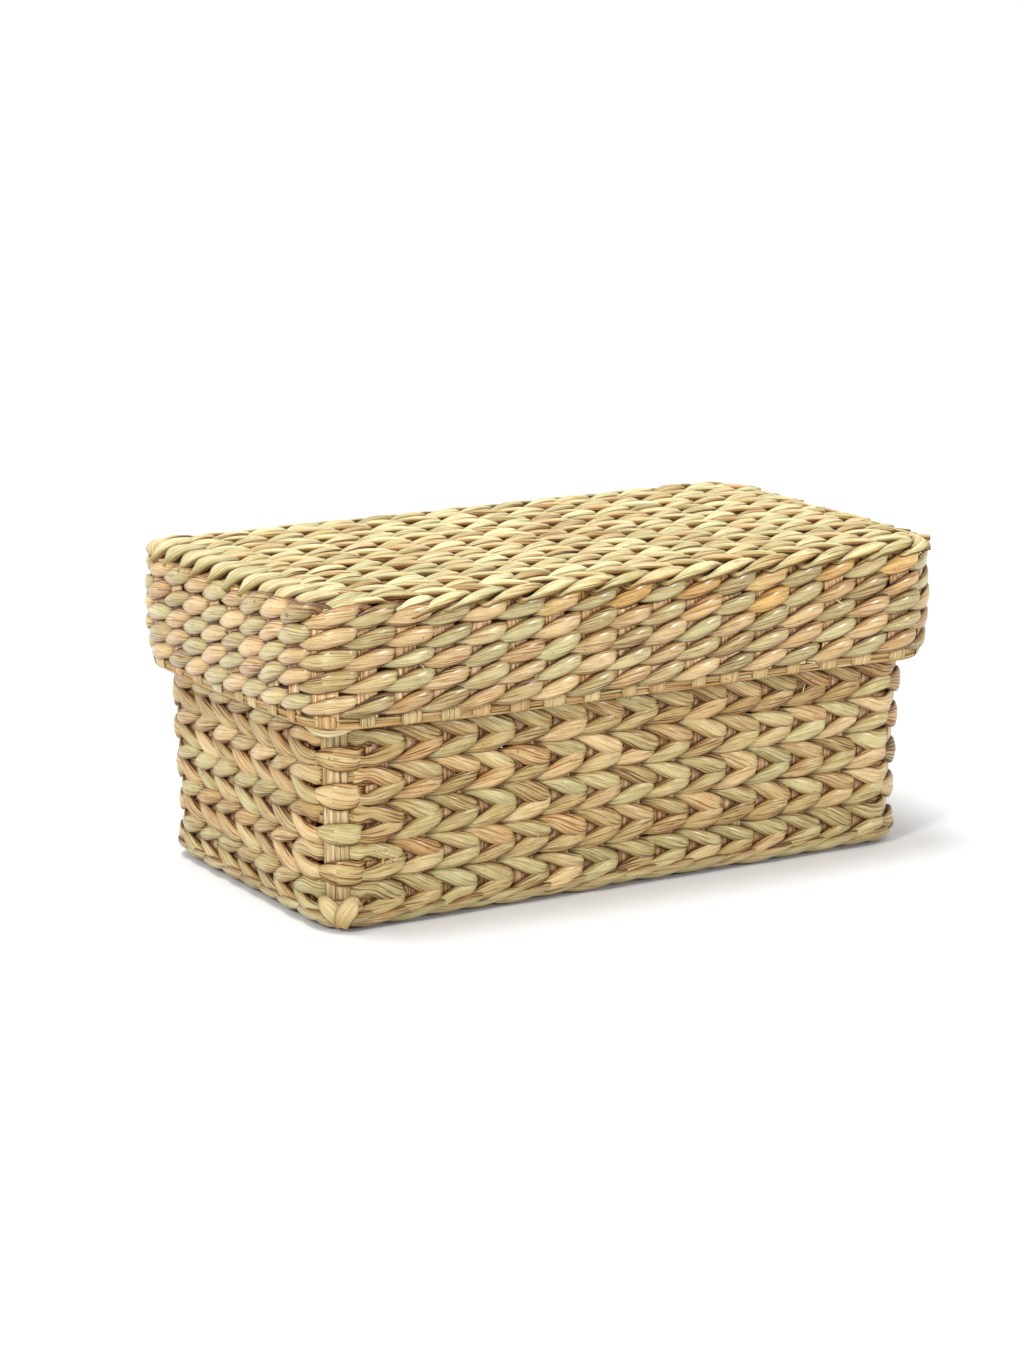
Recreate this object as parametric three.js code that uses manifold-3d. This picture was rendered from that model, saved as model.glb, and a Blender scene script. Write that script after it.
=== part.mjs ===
// Lidded keepsake box twined from dried rush: a slightly tapered body under a deep lift-off lid.
// Millimetres, +Z up, X along the long side, origin at the middle of the footprint.
import * as THREE from "three";
import { mergeVertices } from "three/addons/utils/BufferGeometryUtils.js";
import Module from "manifold-3d";

const wasm = await Module();
wasm.setup();

// Overall size with the lid on
const overallLength = 256;
const overallWidth = 145;
const overallHeight = 114;

// Lid and body
const lidDepth = 44; // from the crown of the lid down to the foot of its rim
const lidTopThickness = 3.6; // mat of the lid, without the crowns of its stitches
const crownHeight = 1.8; // stitches of the lid's mat stand this far above it
const baseThickness = 4.2;
const bodyRimHeight = 5;
const lidRimHeight = 3.2;
const bodyTaper = 2.2; // each wall leans out by this much up to the lid's rim
const lidDraw = 1.1; // each wall of the lid draws in by this much down to its rim
const cornerRadius = 15; // of the line that the stakes follow

// Rush stakes and strands
const stakeThickness = 0.8;
const stakeWidth = 8;
const stakePitch = 14.2;
const backStrand = 1.4; // strand behind a stake
const rimBack = 0.7; // strand behind a stake in the lid's rim
const frontStrand = 2.6; // crown of the strand in front of a stake
const grooveStrand = 1; // strand where two stitches meet
const cornerBulge = 1; // extra crown of the stitch that wraps a corner stake
const bodyRowHeight = 6.4;
const lidRowHeight = 7;
const topRowWidth = 7.2;
const lidBow = 0.8; // extra crown of the lid's fullest row
const edgeDrop = 1.3; // the lid's edge row is this much less full than its other rows
const rimBand = 0.6; // flat band of a rim
const tabThickness = 0.6; // folded end of a stake on a rim
const topChamfer = 3; // the lid's mat draws in by this much towards its top
const footChamfer = 1; // the body's mat draws in by this much towards its underside

// Clearances
const seatGap = 0.3;
const lidFit = 0.3; // inside of the lid's rim to the body's fullest stitches
const matLip = 0.3; // mat beyond its outermost stakes

// Shares
const leanShare = 0.24; // lean of a stitch's end, of a stake pitch
const topLeanShare = 0.36;
const rootShare = 0.04; // a stake's root reaches this share of the mat's thickness into it
const foldShare = 0.12; // a stake's end stops this share of the rim's height inside it
const rimFaceShares = { tabIn: -0.27, tabOut: 0.27, between: 0.5 };
const lidCrownShares = [0, 0.6, 1, 0.9, 0.3]; // of the bow, from the lid's top row down
const bendShares = [-1, -1 / 2, 0, 1 / 2, 1]; // of half a corner's arc

// Worked out from the sizes above
const slotHalf = stakeThickness / 2 + seatGap;
const grooveOut = slotHalf + grooveStrand;
const crestOut = slotHalf + frontStrand;
const backIn = slotHalf + backStrand;
const rimIn = slotHalf + rimBack;
const matOut = stakeThickness / 2 + matLip;
const lidFoot = overallHeight - lidDepth;
const lidMatTop = overallHeight - crownHeight;
const lidUnder = lidMatTop - lidTopThickness;
const bodyHeight = lidUnder - seatGap;

// Plaited wall: a rounded rectangle, with places counted in stake pitches from the near left corner
class WallLine {
  constructor(halfLength, halfWidth, counts) {
    this.halves = [halfLength, halfWidth, halfLength, halfWidth];
    this.counts = counts;
    this.radius = cornerRadius;
  }

  side(place) {
    const total = this.counts.reduce((sum, n) => sum + n, 0);
    let rest = ((place % total) + total) % total;
    let index = 0;
    while (rest >= this.counts[index]) {
      rest -= this.counts[index];
      index += 1;
    }
    return { index, share: rest / this.counts[index] };
  }

  // Half the arc of a corner
  arc() {
    return (Math.PI / 4) * this.radius;
  }

  // Way along one side, from the middle of a corner to the middle of the next
  run(index) {
    return 2 * (this.halves[index] - this.radius + this.arc());
  }

  // Place that lies so far before or past a corner
  near(corner, walk) {
    const index = this.corners().indexOf(corner);
    const side = walk < 0 ? (index + 3) % 4 : index;
    return corner + (walk * this.counts[side]) / this.run(side);
  }

  // Point at a place, moved out from the wall and along it
  at(place, out = 0, along = 0) {
    const { index, share } = this.side(place);
    const turn = (index * Math.PI) / 2;
    const forward = new THREE.Vector2(Math.cos(turn), Math.sin(turn));
    const outward = new THREE.Vector2(Math.sin(turn), -Math.cos(turn));
    const straight = this.halves[index] - this.radius;
    const bend = this.arc();
    const walked = share * this.run(index);
    const past = Math.max(0, walked - bend - 2 * straight);
    const before = Math.max(0, bend - walked);
    const swing = (past - before) / this.radius;
    const step = THREE.MathUtils.clamp(walked - bend, 0, 2 * straight) - straight;
    const normal = outward.clone().multiplyScalar(Math.cos(swing)).addScaledVector(forward, Math.sin(swing));
    const tangent = forward.clone().multiplyScalar(Math.cos(swing)).addScaledVector(outward, -Math.sin(swing));
    return forward
      .clone()
      .multiplyScalar(step)
      .addScaledVector(outward, this.halves[(index + 1) % 4] - this.radius)
      .addScaledVector(normal, this.radius + out)
      .addScaledVector(tangent, along);
  }

  corners() {
    const [long, short] = this.counts;
    return [0, long, long + short, 2 * long + short];
  }

  total() {
    return 2 * (this.counts[0] + this.counts[1]);
  }

  // Outline that keeps the corners round
  outline(out) {
    return this.corners().flatMap((corner) =>
      bendShares.map((share) => this.at(this.near(corner, share * this.arc()), out)),
    );
  }
}

function stakeCounts(halfLength, halfWidth) {
  const run = (half) => 2 * (half - cornerRadius + (Math.PI / 4) * cornerRadius);
  const long = Math.max(2, Math.round(run(halfLength) / stakePitch));
  const short = Math.max(2, Math.round(run(halfWidth) / stakePitch));
  return [long, short, long, short];
}

// Lid: upright walls that draw in over the lowest row and the rim
const lidHalfLength = overallLength / 2 - crestOut - lidBow;
const lidHalfWidth = overallWidth / 2 - crestOut - lidBow;
const lidCounts = stakeCounts(lidHalfLength, lidHalfWidth);
const lidRowsFoot = lidFoot + lidRimHeight;
const lidRowsHead = lidUnder - seatGap;
const lidRows = Math.max(1, Math.round((lidRowsHead - lidRowsFoot) / lidRowHeight));
const lidRowPitch = (lidRowsHead - lidRowsFoot) / lidRows;

const lidBend = lidRowsFoot + lidRowPitch;

function lidLine(z) {
  const draw = lidDraw * THREE.MathUtils.clamp((lidBend - z) / (lidBend - lidFoot), 0, 1);
  return new WallLine(lidHalfLength - draw, lidHalfWidth - draw, lidCounts);
}

// Body: walls lean out up to the lid's rim, then stand upright inside the lid
const bodyHalfLength = lidHalfLength - lidDraw - rimIn - lidFit - crestOut;
const bodyHalfWidth = lidHalfWidth - lidDraw - rimIn - lidFit - crestOut;
const bodyCounts = stakeCounts(bodyHalfLength, bodyHalfWidth);

function bodyLine(z) {
  const lean = bodyTaper * (1 - Math.min(1, z / lidFoot));
  return new WallLine(bodyHalfLength - lean, bodyHalfWidth - lean, bodyCounts);
}

// Solids
function geometryFrom(points, faces) {
  return new THREE.BufferGeometry()
    .setAttribute("position", new THREE.Float32BufferAttribute(points.flat(), 3))
    .setIndex(faces.flat());
}

function solidOf(geometry) {
  const bare = geometry.clone();
  bare.deleteAttribute("normal");
  bare.deleteAttribute("uv");
  const merged = mergeVertices(bare);
  return new wasm.Manifold(
    new wasm.Mesh({
      numProp: 3,
      vertProperties: merged.attributes.position.array,
      triVerts: new Uint32Array(merged.index.array),
    }),
  );
}

function geometryOf(solid) {
  const mesh = solid.getMesh();
  return new THREE.BufferGeometry()
    .setAttribute("position", new THREE.BufferAttribute(new Float32Array(mesh.vertProperties), 3))
    .setIndex(new THREE.BufferAttribute(new Uint32Array(mesh.triVerts), 1));
}

// Flat face over an outline with holes; upward faces turn counter-clockwise
function flatFace(loops, upward) {
  const corners = loops.flat();
  const [outline, ...holes] = loops;
  return THREE.ShapeUtils.triangulateShape(outline, holes).map(([a, b, c]) => {
    const turn = corners[b].clone().sub(corners[a]).cross(corners[c].clone().sub(corners[a]));
    return turn > 0 === upward ? [a, b, c] : [a, c, b];
  });
}

// Band between two levels. Each outer point has a low and a high place, and may carry the
// crown of the stitch that runs from it to the next point. Holes go right through.
function band(low, high, outer, holes = []) {
  const loops = [outer, ...holes];
  const lows = loops.map((loop) => loop.map((p) => p.low));
  const highs = loops.map((loop) => loop.map((p) => p.high));
  const points = [
    ...lows.flat().map((p) => [p.x, p.y, low]),
    ...highs.flat().map((p) => [p.x, p.y, high]),
  ];
  const level = lows.flat().length;
  const faces = [
    ...flatFace(lows, false),
    ...flatFace(highs, true).map((face) => face.map((i) => i + level)),
  ];
  let first = 0;
  loops.forEach((loop, depth) => {
    const step = (i) => first + (i % loop.length);
    let i = 0;
    while (i < loop.length) {
      const { crown, span = 1 } = loop[i];
      const foot = Array.from({ length: span + 1 }, (_, k) => step(i + k));
      const around = [...foot, ...foot.toReversed().map((v) => v + level)];
      if (crown) {
        points.push(crown);
        around.forEach((v, k) => faces.push([v, around[(k + 1) % around.length], points.length - 1]));
      } else {
        const [a, b, c, d] = around;
        const quad = [[a, b, c], [a, c, d]];
        faces.push(...quad.map((face) => (depth ? face.toReversed() : face)));
      }
      i += span;
    }
    first += loop.length;
  });
  return geometryFrom(points, faces);
}

// Prism through matching four-sided sections
function splint(sections) {
  const points = sections.flat();
  const faces = [[0, 2, 1], [0, 3, 2]];
  for (let ring = 0; ring < sections.length - 1; ring += 1) {
    for (let i = 0; i < 4; i += 1) {
      const a = ring * 4 + i;
      const b = ring * 4 + ((i + 1) % 4);
      faces.push([a, b, b + 4], [a, b + 4, a + 4]);
    }
  }
  const last = (sections.length - 1) * 4;
  faces.push([last, last + 1, last + 2], [last, last + 2, last + 3]);
  return geometryFrom(points, faces);
}

// Stake: a flat rush splint that stands in the wall at one place
function stake(lineAt, place, levels) {
  const half = stakeThickness / 2;
  const wide = stakeWidth / 2;
  const section = (z) =>
    [[half, -wide], [half, wide], [-half, wide], [-half, -wide]].map(([out, along]) => {
      const p = lineAt(z).at(place, out, along);
      return [p.x, p.y, z];
    });
  return splint(levels.map(section));
}

// Places between two corners that hold a stake
function wallPlaces(line) {
  const corners = line.corners();
  return Array.from({ length: line.total() }, (_, place) => place).filter((place) => !corners.includes(place));
}

// Slot in which a wall's stakes stand, at one level
function slotLoop(line, side) {
  const start = line.corners()[side];
  const first = start + 1;
  const last = start + line.counts[side] - 1;
  const reach = stakeWidth / 2 + seatGap;
  return [
    line.at(first, slotHalf, -reach),
    line.at(last, slotHalf, reach),
    line.at(last, -slotHalf, reach),
    line.at(first, -slotHalf, -reach),
  ];
}

// Pocket round a corner stake, from one offset to another
function cornerPocket(line, corner, from, to) {
  const reach = stakeWidth / 2 + seatGap;
  return [[from, -reach], [to, -reach], [to, reach], [from, reach]].map(([out, along]) =>
    line.at(corner, out, along),
  );
}

const Corner = { plain: "plain", front: "front", behind: "behind" };

function paired(lowLoop, highLoop) {
  return lowLoop.map((low, i) => ({ low, high: highLoop[i] }));
}

// Walks from the nearest corner at which a stitch bends with the wall
function stitchBends(line, place, corner) {
  const corners = line.corners();
  const total = line.total();
  if (corners.includes(place)) {
    const reach = stakeWidth / 2 + seatGap;
    return { from: place, walks: corner === Corner.plain ? [0] : [-reach, 0, reach] };
  }
  if (corner !== Corner.plain) return { from: place, walks: [] };
  if (corners.includes(place - 1)) return { from: place - 1, walks: [line.arc()] };
  const next = (place + 1) % total;
  return corners.includes(next) ? { from: next, walks: [-line.arc()] } : { from: place, walks: [] };
}

// Outer face of a twined row: one leaning stitch over each stake. Leans are those of the long
// and of the short walls.
function stitchLoop(low, high, levels, { leans, crest, corner, lowOut, highOut }) {
  const middle = (levels[0] + levels[1]) / 2;
  const corners = low.corners();
  const bulge = corner === Corner.front ? cornerBulge : 0;
  const loop = [];
  for (let place = 0; place < low.total(); place += 1) {
    const atCorner = corners.includes(place);
    const afterCorner = corners.includes((place + low.total() - 1) % low.total());
    const lean = leans[low.side(place).index % 2];
    const shift = atCorner || afterCorner ? 0 : lean * leanShare;
    const start = place - 1 / 2;
    const point = {
      low: low.at(start - shift, lowOut),
      high: high.at(start + shift, highOut),
    };
    loop.push(point);
    if (atCorner && corner === Corner.behind) {
      loop.push(
        ...paired(
          cornerPocket(low, place, lowOut, -slotHalf),
          cornerPocket(high, place, highOut, -slotHalf),
        ),
      );
      continue;
    }
    const extra = atCorner ? bulge : 0;
    const crown = low.at(place, crest + extra).lerp(high.at(place, crest + extra), 1 / 2);
    const { from, walks } = stitchBends(low, place, corner);
    point.crown = [crown.x, crown.y, middle];
    point.span = walks.length + 1;
    loop.push(
      ...paired(
        walks.map((walk) => low.at(low.near(from, walk), lowOut + extra)),
        walks.map((walk) => high.at(high.near(from, walk), highOut + extra)),
      ),
    );
  }
  return loop;
}

// Inner face of a row, with a pocket for each corner stake that the row passes in front of
function backLoop(low, high, corner, depth = backIn) {
  const trace = (line) =>
    line.corners().flatMap((place) => {
      const middle = corner === Corner.front
        ? cornerPocket(line, place, -depth, slotHalf)
        : [line.at(place, -depth)];
      const [start, end] = [-line.arc(), line.arc()].map((walk) => line.at(line.near(place, walk), -depth));
      return [start, ...middle, end];
    });
  return paired(trace(low), trace(high));
}

// Twined row: strands in front of and behind the stakes, closed between them
function twinedRow(lineAt, levels, look) {
  const [low, high] = levels.map(lineAt);
  const outer = stitchLoop(low, high, levels, { lowOut: grooveOut, highOut: grooveOut, ...look });
  const slots = [0, 1, 2, 3].map((side) => paired(slotLoop(low, side), slotLoop(high, side)));
  return band(...levels, outer, [backLoop(low, high, look.corner), ...slots]);
}

// Edge row: rope of long stitches round the rim of a mat
function edgeRow(lineAt, levels, look, matOuts) {
  const [low, high] = levels.map(lineAt);
  const outer = stitchLoop(low, high, levels, look);
  const inner = paired(
    low.outline(matOuts[0] + seatGap),
    high.outline(matOuts[1] + seatGap),
  );
  return band(...levels, outer, [inner]);
}

// Rim: flat band with the end of every stake folded over it
function rim(lineAt, levels, corner, depth) {
  const [low, high] = levels.map(lineAt);
  const flat = slotHalf + rimBand;
  const raised = flat + tabThickness;
  const { tabIn, tabOut, between } = rimFaceShares;
  const trace = (line) =>
    Array.from({ length: line.total() }, (_, place) => [
      line.at(place + tabIn, raised),
      line.at(place + tabOut, raised),
      line.at(place + between, flat),
    ]).flat();
  const slots = [0, 1, 2, 3].map((side) => paired(slotLoop(low, side), slotLoop(high, side)));
  return band(...levels, paired(trace(low), trace(high)), [backLoop(low, high, corner, depth), ...slots]);
}

// Mat: a flat slab whose edge draws in towards its outer face
function mat(lineAt, levels, outs) {
  const [low, high] = levels.map(lineAt);
  return band(...levels, paired(low.outline(outs[0]), high.outline(outs[1])));
}

// Stitches of the lid's top: rows along the length that lean by turns
function topStitches(line, matTop) {
  const halfLength = line.halves[0] + matOut - topChamfer;
  const halfWidth = line.halves[1] + matOut - topChamfer;
  const rows = Math.max(2, 2 * Math.round(halfWidth / topRowWidth));
  const columns = Math.max(2, Math.round((2 * halfLength) / stakePitch - topLeanShare));
  const long = (2 * halfLength) / (columns + topLeanShare);
  const wide = (2 * halfWidth) / rows;
  const foot = matTop - crownHeight;
  const groove = matTop + crownHeight / 4;
  const place = (i, j) => [-halfLength + (i + topLeanShare * (j % 2)) * long, -halfWidth + j * wide];
  const points = [];
  const faces = [];
  const index = (i, j) => j * (columns + 1) + i;
  for (let j = 0; j <= rows; j += 1) {
    for (let i = 0; i <= columns; i += 1) points.push([...place(i, j), groove]);
  }
  for (let j = 0; j < rows; j += 1) {
    for (let i = 0; i < columns; i += 1) {
      const around = [index(i, j), index(i + 1, j), index(i + 1, j + 1), index(i, j + 1)];
      const middle = new THREE.Vector3();
      around.forEach((v) => middle.addScaledVector(new THREE.Vector3(...points[v]), 1 / 4));
      points.push([middle.x, middle.y, matTop + crownHeight]);
      around.forEach((v, k) => faces.push([v, around[(k + 1) % 4], points.length - 1]));
    }
  }
  const border = [
    ...Array.from({ length: columns }, (_, i) => index(i, 0)),
    ...Array.from({ length: rows }, (_, j) => index(columns, j)),
    ...Array.from({ length: columns }, (_, i) => index(columns - i, rows)),
    ...Array.from({ length: rows }, (_, j) => index(0, rows - j)),
  ];
  const base = points.length;
  border.forEach((v) => points.push([points[v][0], points[v][1], foot]));
  border.forEach((v, k) => {
    const next = (k + 1) % border.length;
    faces.push([v, base + next, border[next]], [v, base + k, base + next]);
  });
  const rim2d = border.map((v) => new THREE.Vector2(points[v][0], points[v][1]));
  faces.push(...flatFace([rim2d], false).map((face) => face.map((i) => base + i)));
  return geometryFrom(points, faces);
}

function joined(first, rest) {
  return geometryOf(rest.reduce((whole, piece) => whole.add(solidOf(piece)), solidOf(first)));
}

// Finishes
const rush = new THREE.Color("#cdbd8c");
const greenRush = new THREE.Color("#c3c08f");
const peachRush = new THREE.Color("#dcc096");
const stakeRush = new THREE.Color("#c4a57e");

function piece(name, geometry, color) {
  const material = new THREE.MeshStandardMaterial({ color, roughness: 0.6, metalness: 0, flatShading: true });
  const mesh = new THREE.Mesh(geometry, material);
  mesh.name = name;
  return mesh;
}

const twoDigits = (n) => String(n).padStart(2, "0");

// Body: a mat whose stakes turn up into the walls, corner stakes, twined rows and a rim
function makeBody() {
  const group = new THREE.Group();
  const stakeTop = bodyHeight - bodyRimHeight * foldShare;
  const matOuts = [matOut - footChamfer, matOut];
  const bodyMat = mat(bodyLine, [0, baseThickness], matOuts);
  const stakes = wallPlaces(bodyLine(0)).map((place) =>
    stake(bodyLine, place, [baseThickness * (1 - rootShare), lidFoot, stakeTop]),
  );
  group.add(piece("body_base", joined(bodyMat, stakes), stakeRush));

  bodyLine(0).corners().forEach((place, i) => {
    const levels = [baseThickness + seatGap, lidFoot, stakeTop];
    group.add(piece(`body_corner_stake_${i + 1}`, stake(bodyLine, place, levels), stakeRush));
  });

  const edgeLook = {
    leans: [1, 1],
    crest: crestOut,
    corner: Corner.plain,
    lowOut: matOut + seatGap,
    highOut: grooveOut,
  };
  group.add(piece("body_edge_row", edgeRow(bodyLine, [0, baseThickness], edgeLook, matOuts), rush));

  const foot = baseThickness + seatGap;
  const head = bodyHeight - bodyRimHeight;
  const rows = Math.max(1, Math.round((head - foot) / bodyRowHeight));
  const pitch = (head - foot) / rows;
  for (let row = 0; row < rows; row += 1) {
    const low = foot + row * pitch;
    const inFront = row % 2 === 0;
    const look = {
      leans: inFront ? [1, -1] : [-1, 1],
      crest: crestOut,
      corner: inFront ? Corner.front : Corner.behind,
    };
    const ring = twinedRow(bodyLine, [low, low + pitch - seatGap], look);
    group.add(piece(`body_row_${twoDigits(row + 1)}`, ring, inFront ? greenRush : peachRush));
  }
  group.add(piece("body_rim", rim(bodyLine, [head, bodyHeight], Corner.front, backIn), rush));
  return group;
}

// Lid: a mat with stitched rows on top, its stakes turned down into the walls, rows and a rim
function makeLid() {
  const group = new THREE.Group();
  const matOuts = [matOut, matOut - topChamfer];
  const lidMat = mat(lidLine, [lidUnder, lidMatTop], matOuts);
  const outline = mat(lidLine, [lidUnder, overallHeight + crownHeight], [matOuts[1], matOuts[1]]);
  const rows = solidOf(topStitches(lidLine(lidMatTop), lidMatTop)).intersect(solidOf(outline));
  const levels = [lidFoot + lidRimHeight * foldShare, lidBend, lidUnder + lidTopThickness * rootShare];
  const stakes = wallPlaces(lidLine(lidFoot)).map((place) => stake(lidLine, place, levels));
  group.add(piece("lid_top", joined(lidMat, [geometryOf(rows), ...stakes]), greenRush));

  const edgeLook = {
    leans: [1, 1],
    crest: crestOut - edgeDrop,
    corner: Corner.plain,
    lowOut: grooveOut,
    highOut: grooveOut - topChamfer,
  };
  group.add(piece("lid_edge_row", edgeRow(lidLine, [lidUnder, lidMatTop], edgeLook, matOuts), peachRush));

  for (let row = 0; row < lidRows; row += 1) {
    const high = lidRowsHead - row * lidRowPitch;
    const fullness = lidCrownShares[Math.min(row, lidCrownShares.length - 1)];
    const look = { leans: [1, 1], crest: crestOut + lidBow * fullness, corner: Corner.plain };
    const ring = twinedRow(lidLine, [high - lidRowPitch + seatGap, high], look);
    group.add(piece(`lid_row_${row + 1}`, ring, row % 2 ? peachRush : greenRush));
  }
  group.add(piece("lid_rim", rim(lidLine, [lidFoot, lidRowsFoot], Corner.plain, rimIn), rush));
  return group;
}

const box = new THREE.Group();
box.add(makeBody(), makeLid());

export default box;
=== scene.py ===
"""Looks of a lidded keepsake box that is twined from dried rush.

Every row of the walls and mats is two strands that twist round the flat stakes, as on the real box. A strand
is a section carried along a path, and its place, width and thickness within one stitch are smooth curves of
the way from stake to stake. Lengths are in metres, and places along a row are counted in stakes.
"""

import logging
import math
from dataclasses import dataclass, field, replace
from enum import Enum
from typing import Protocol

import bpy
import numpy as np
from mathutils import Matrix, Vector


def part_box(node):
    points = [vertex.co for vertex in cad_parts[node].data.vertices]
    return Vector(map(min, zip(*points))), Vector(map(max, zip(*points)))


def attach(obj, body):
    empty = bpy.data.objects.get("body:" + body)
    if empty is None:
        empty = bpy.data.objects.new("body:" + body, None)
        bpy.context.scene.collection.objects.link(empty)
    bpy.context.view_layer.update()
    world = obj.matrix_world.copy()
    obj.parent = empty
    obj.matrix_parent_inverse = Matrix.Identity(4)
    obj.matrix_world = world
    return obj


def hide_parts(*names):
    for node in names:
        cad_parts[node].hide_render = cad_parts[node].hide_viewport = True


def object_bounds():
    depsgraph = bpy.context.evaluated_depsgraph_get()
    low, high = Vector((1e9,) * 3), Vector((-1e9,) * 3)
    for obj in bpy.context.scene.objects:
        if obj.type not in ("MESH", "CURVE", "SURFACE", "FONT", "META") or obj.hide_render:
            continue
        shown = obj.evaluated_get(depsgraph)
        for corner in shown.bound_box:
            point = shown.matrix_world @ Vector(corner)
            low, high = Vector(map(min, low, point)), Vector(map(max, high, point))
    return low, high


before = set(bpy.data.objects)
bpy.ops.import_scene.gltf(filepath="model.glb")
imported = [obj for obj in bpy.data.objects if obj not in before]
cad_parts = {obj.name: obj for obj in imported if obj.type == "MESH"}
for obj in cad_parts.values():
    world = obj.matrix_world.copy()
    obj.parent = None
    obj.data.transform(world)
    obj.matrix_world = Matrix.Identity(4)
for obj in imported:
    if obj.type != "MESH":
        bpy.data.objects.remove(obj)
cad_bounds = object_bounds()

log = logging.getLogger("woven_box")

Array = np.ndarray
UP = np.array([0.0, 0.0, 1.0])
FIBRE_SCALE = 100.0  # fibre marks are counted in centimetres
FIBRE_TWIST = 0.12  # way round a strand that its fibres go for each centimetre along it
FIBRE_SHIFT = 0.37  # from the fibre marks of a row's first strand to those of its second


class Lean(Enum):
    """Which way the stitches of a row lean on the long and on the short walls, seen from outside."""

    RISING = (1, 1)
    FALLING = (-1, -1)
    RISING_ON_LONG = (1, -1)
    FALLING_ON_LONG = (-1, 1)


class CornerPass(Enum):
    """How a row passes the stake that stands at a corner."""

    PLAIN = "plain"
    FRONT = "front"
    BEHIND = "behind"


def smooth(low: float, high: float, value: Array) -> Array:
    """Smooth step: 3 s squared less 2 s cubed, with s the share of the way from low to high.

    Args:
        low: value at which the step starts.
        high: value at which the step ends.
        value: where it is wanted.

    Returns:
        Numbers from 0 to 1, shaped as value.
    """
    share = np.clip((value - low) / (high - low), 0.0, 1.0)
    return share * share * (3.0 - 2.0 * share)


def hermite(x: Array, y: Array, slope: Array, i: Array, place: Array) -> Array:
    """Cubic Hermite polynomial between the knots i and i + 1, from their values and slopes.

    With s the share of the way between them, it is (1 + 2 s) (1 - s) squared times the first value, plus s
    (1 - s) squared times the first slope, plus s squared (3 - 2 s) times the second value, plus s squared
    (s - 1) times the second slope, each slope times the way between them.

    Args:
        x: places of the knots.
        y: values at the knots.
        slope: slopes at the knots.
        i: number of the knot before each place.
        place: places at which it is wanted.

    Returns:
        One value or row for each place.
    """
    run = x[i + 1] - x[i]
    s = (place - x[i]) / run
    if y.ndim > 1:
        s, run = s[:, None], run[:, None]
    start = (1 + 2 * s) * (1 - s) ** 2 * y[i] + s * (1 - s) ** 2 * run * slope[i]
    return start + s**2 * (3 - 2 * s) * y[i + 1] + s**2 * (s - 1) * run * slope[i + 1]


def round_curve(knots: Array, values: Array, where: Array, period: float) -> Array:
    """Closed cubic curve through given values; each knot's slope is that between its two neighbours.

    Args:
        knots: rising places within one period.
        values: the curve's value at each knot.
        where: places at which it is wanted.
        period: length after which the curve repeats.

    Returns:
        The curve's values, shaped as where.
    """
    x = np.concatenate(([knots[-1] - period], knots, [knots[0] + period, knots[1] + period]))
    y = np.concatenate(([values[-1]], values, [values[0], values[1]]))
    slope = np.gradient(y, x)
    slope[1:-1] = (y[2:] - y[:-2]) / (x[2:] - x[:-2])
    place = np.mod(where - knots[0], period) + knots[0]
    i = np.clip(np.searchsorted(knots, place, side="right"), 1, len(knots))
    return hermite(x, y, slope, i, place)


def open_curve(values: Array, count: int) -> Array:
    """Cubic curve through evenly spaced values, with straight ends.

    Args:
        values: one row for each knot.
        count: number of places at which it is wanted.

    Returns:
        One row for each place.
    """
    x = np.arange(len(values), dtype=float)
    y = np.asarray(values, dtype=float)
    place = np.linspace(0.0, len(values) - 1.0, count)
    i = np.clip(np.floor(place).astype(int), 0, len(values) - 2)
    return hermite(x, y, np.gradient(y, axis=0), i, place)


def change(values: Array, closed: bool) -> Array:
    """Central difference from station to station, round the end where the strand is closed.

    Args:
        values: one for each station.
        closed: whether the last station is followed by the first.

    Returns:
        The change at each station.
    """
    if closed:
        return (np.roll(values, -1, axis=0) - np.roll(values, 1, axis=0)) / 2
    return np.gradient(values, axis=0)


def unit(vectors: Array) -> Array:
    """Vectors brought to length 1."""
    return vectors / np.linalg.norm(vectors, axis=-1, keepdims=True)


def half_extents(node: str) -> tuple[float, float]:
    """Half length and half width of a CAD node that lies round the middle."""
    low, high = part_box(node)
    return (high.x - low.x) / 2, (high.y - low.y) / 2


def level_of(node: str) -> float:
    """Height of the middle of a CAD node."""
    low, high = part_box(node)
    return (low.z + high.z) / 2


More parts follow.
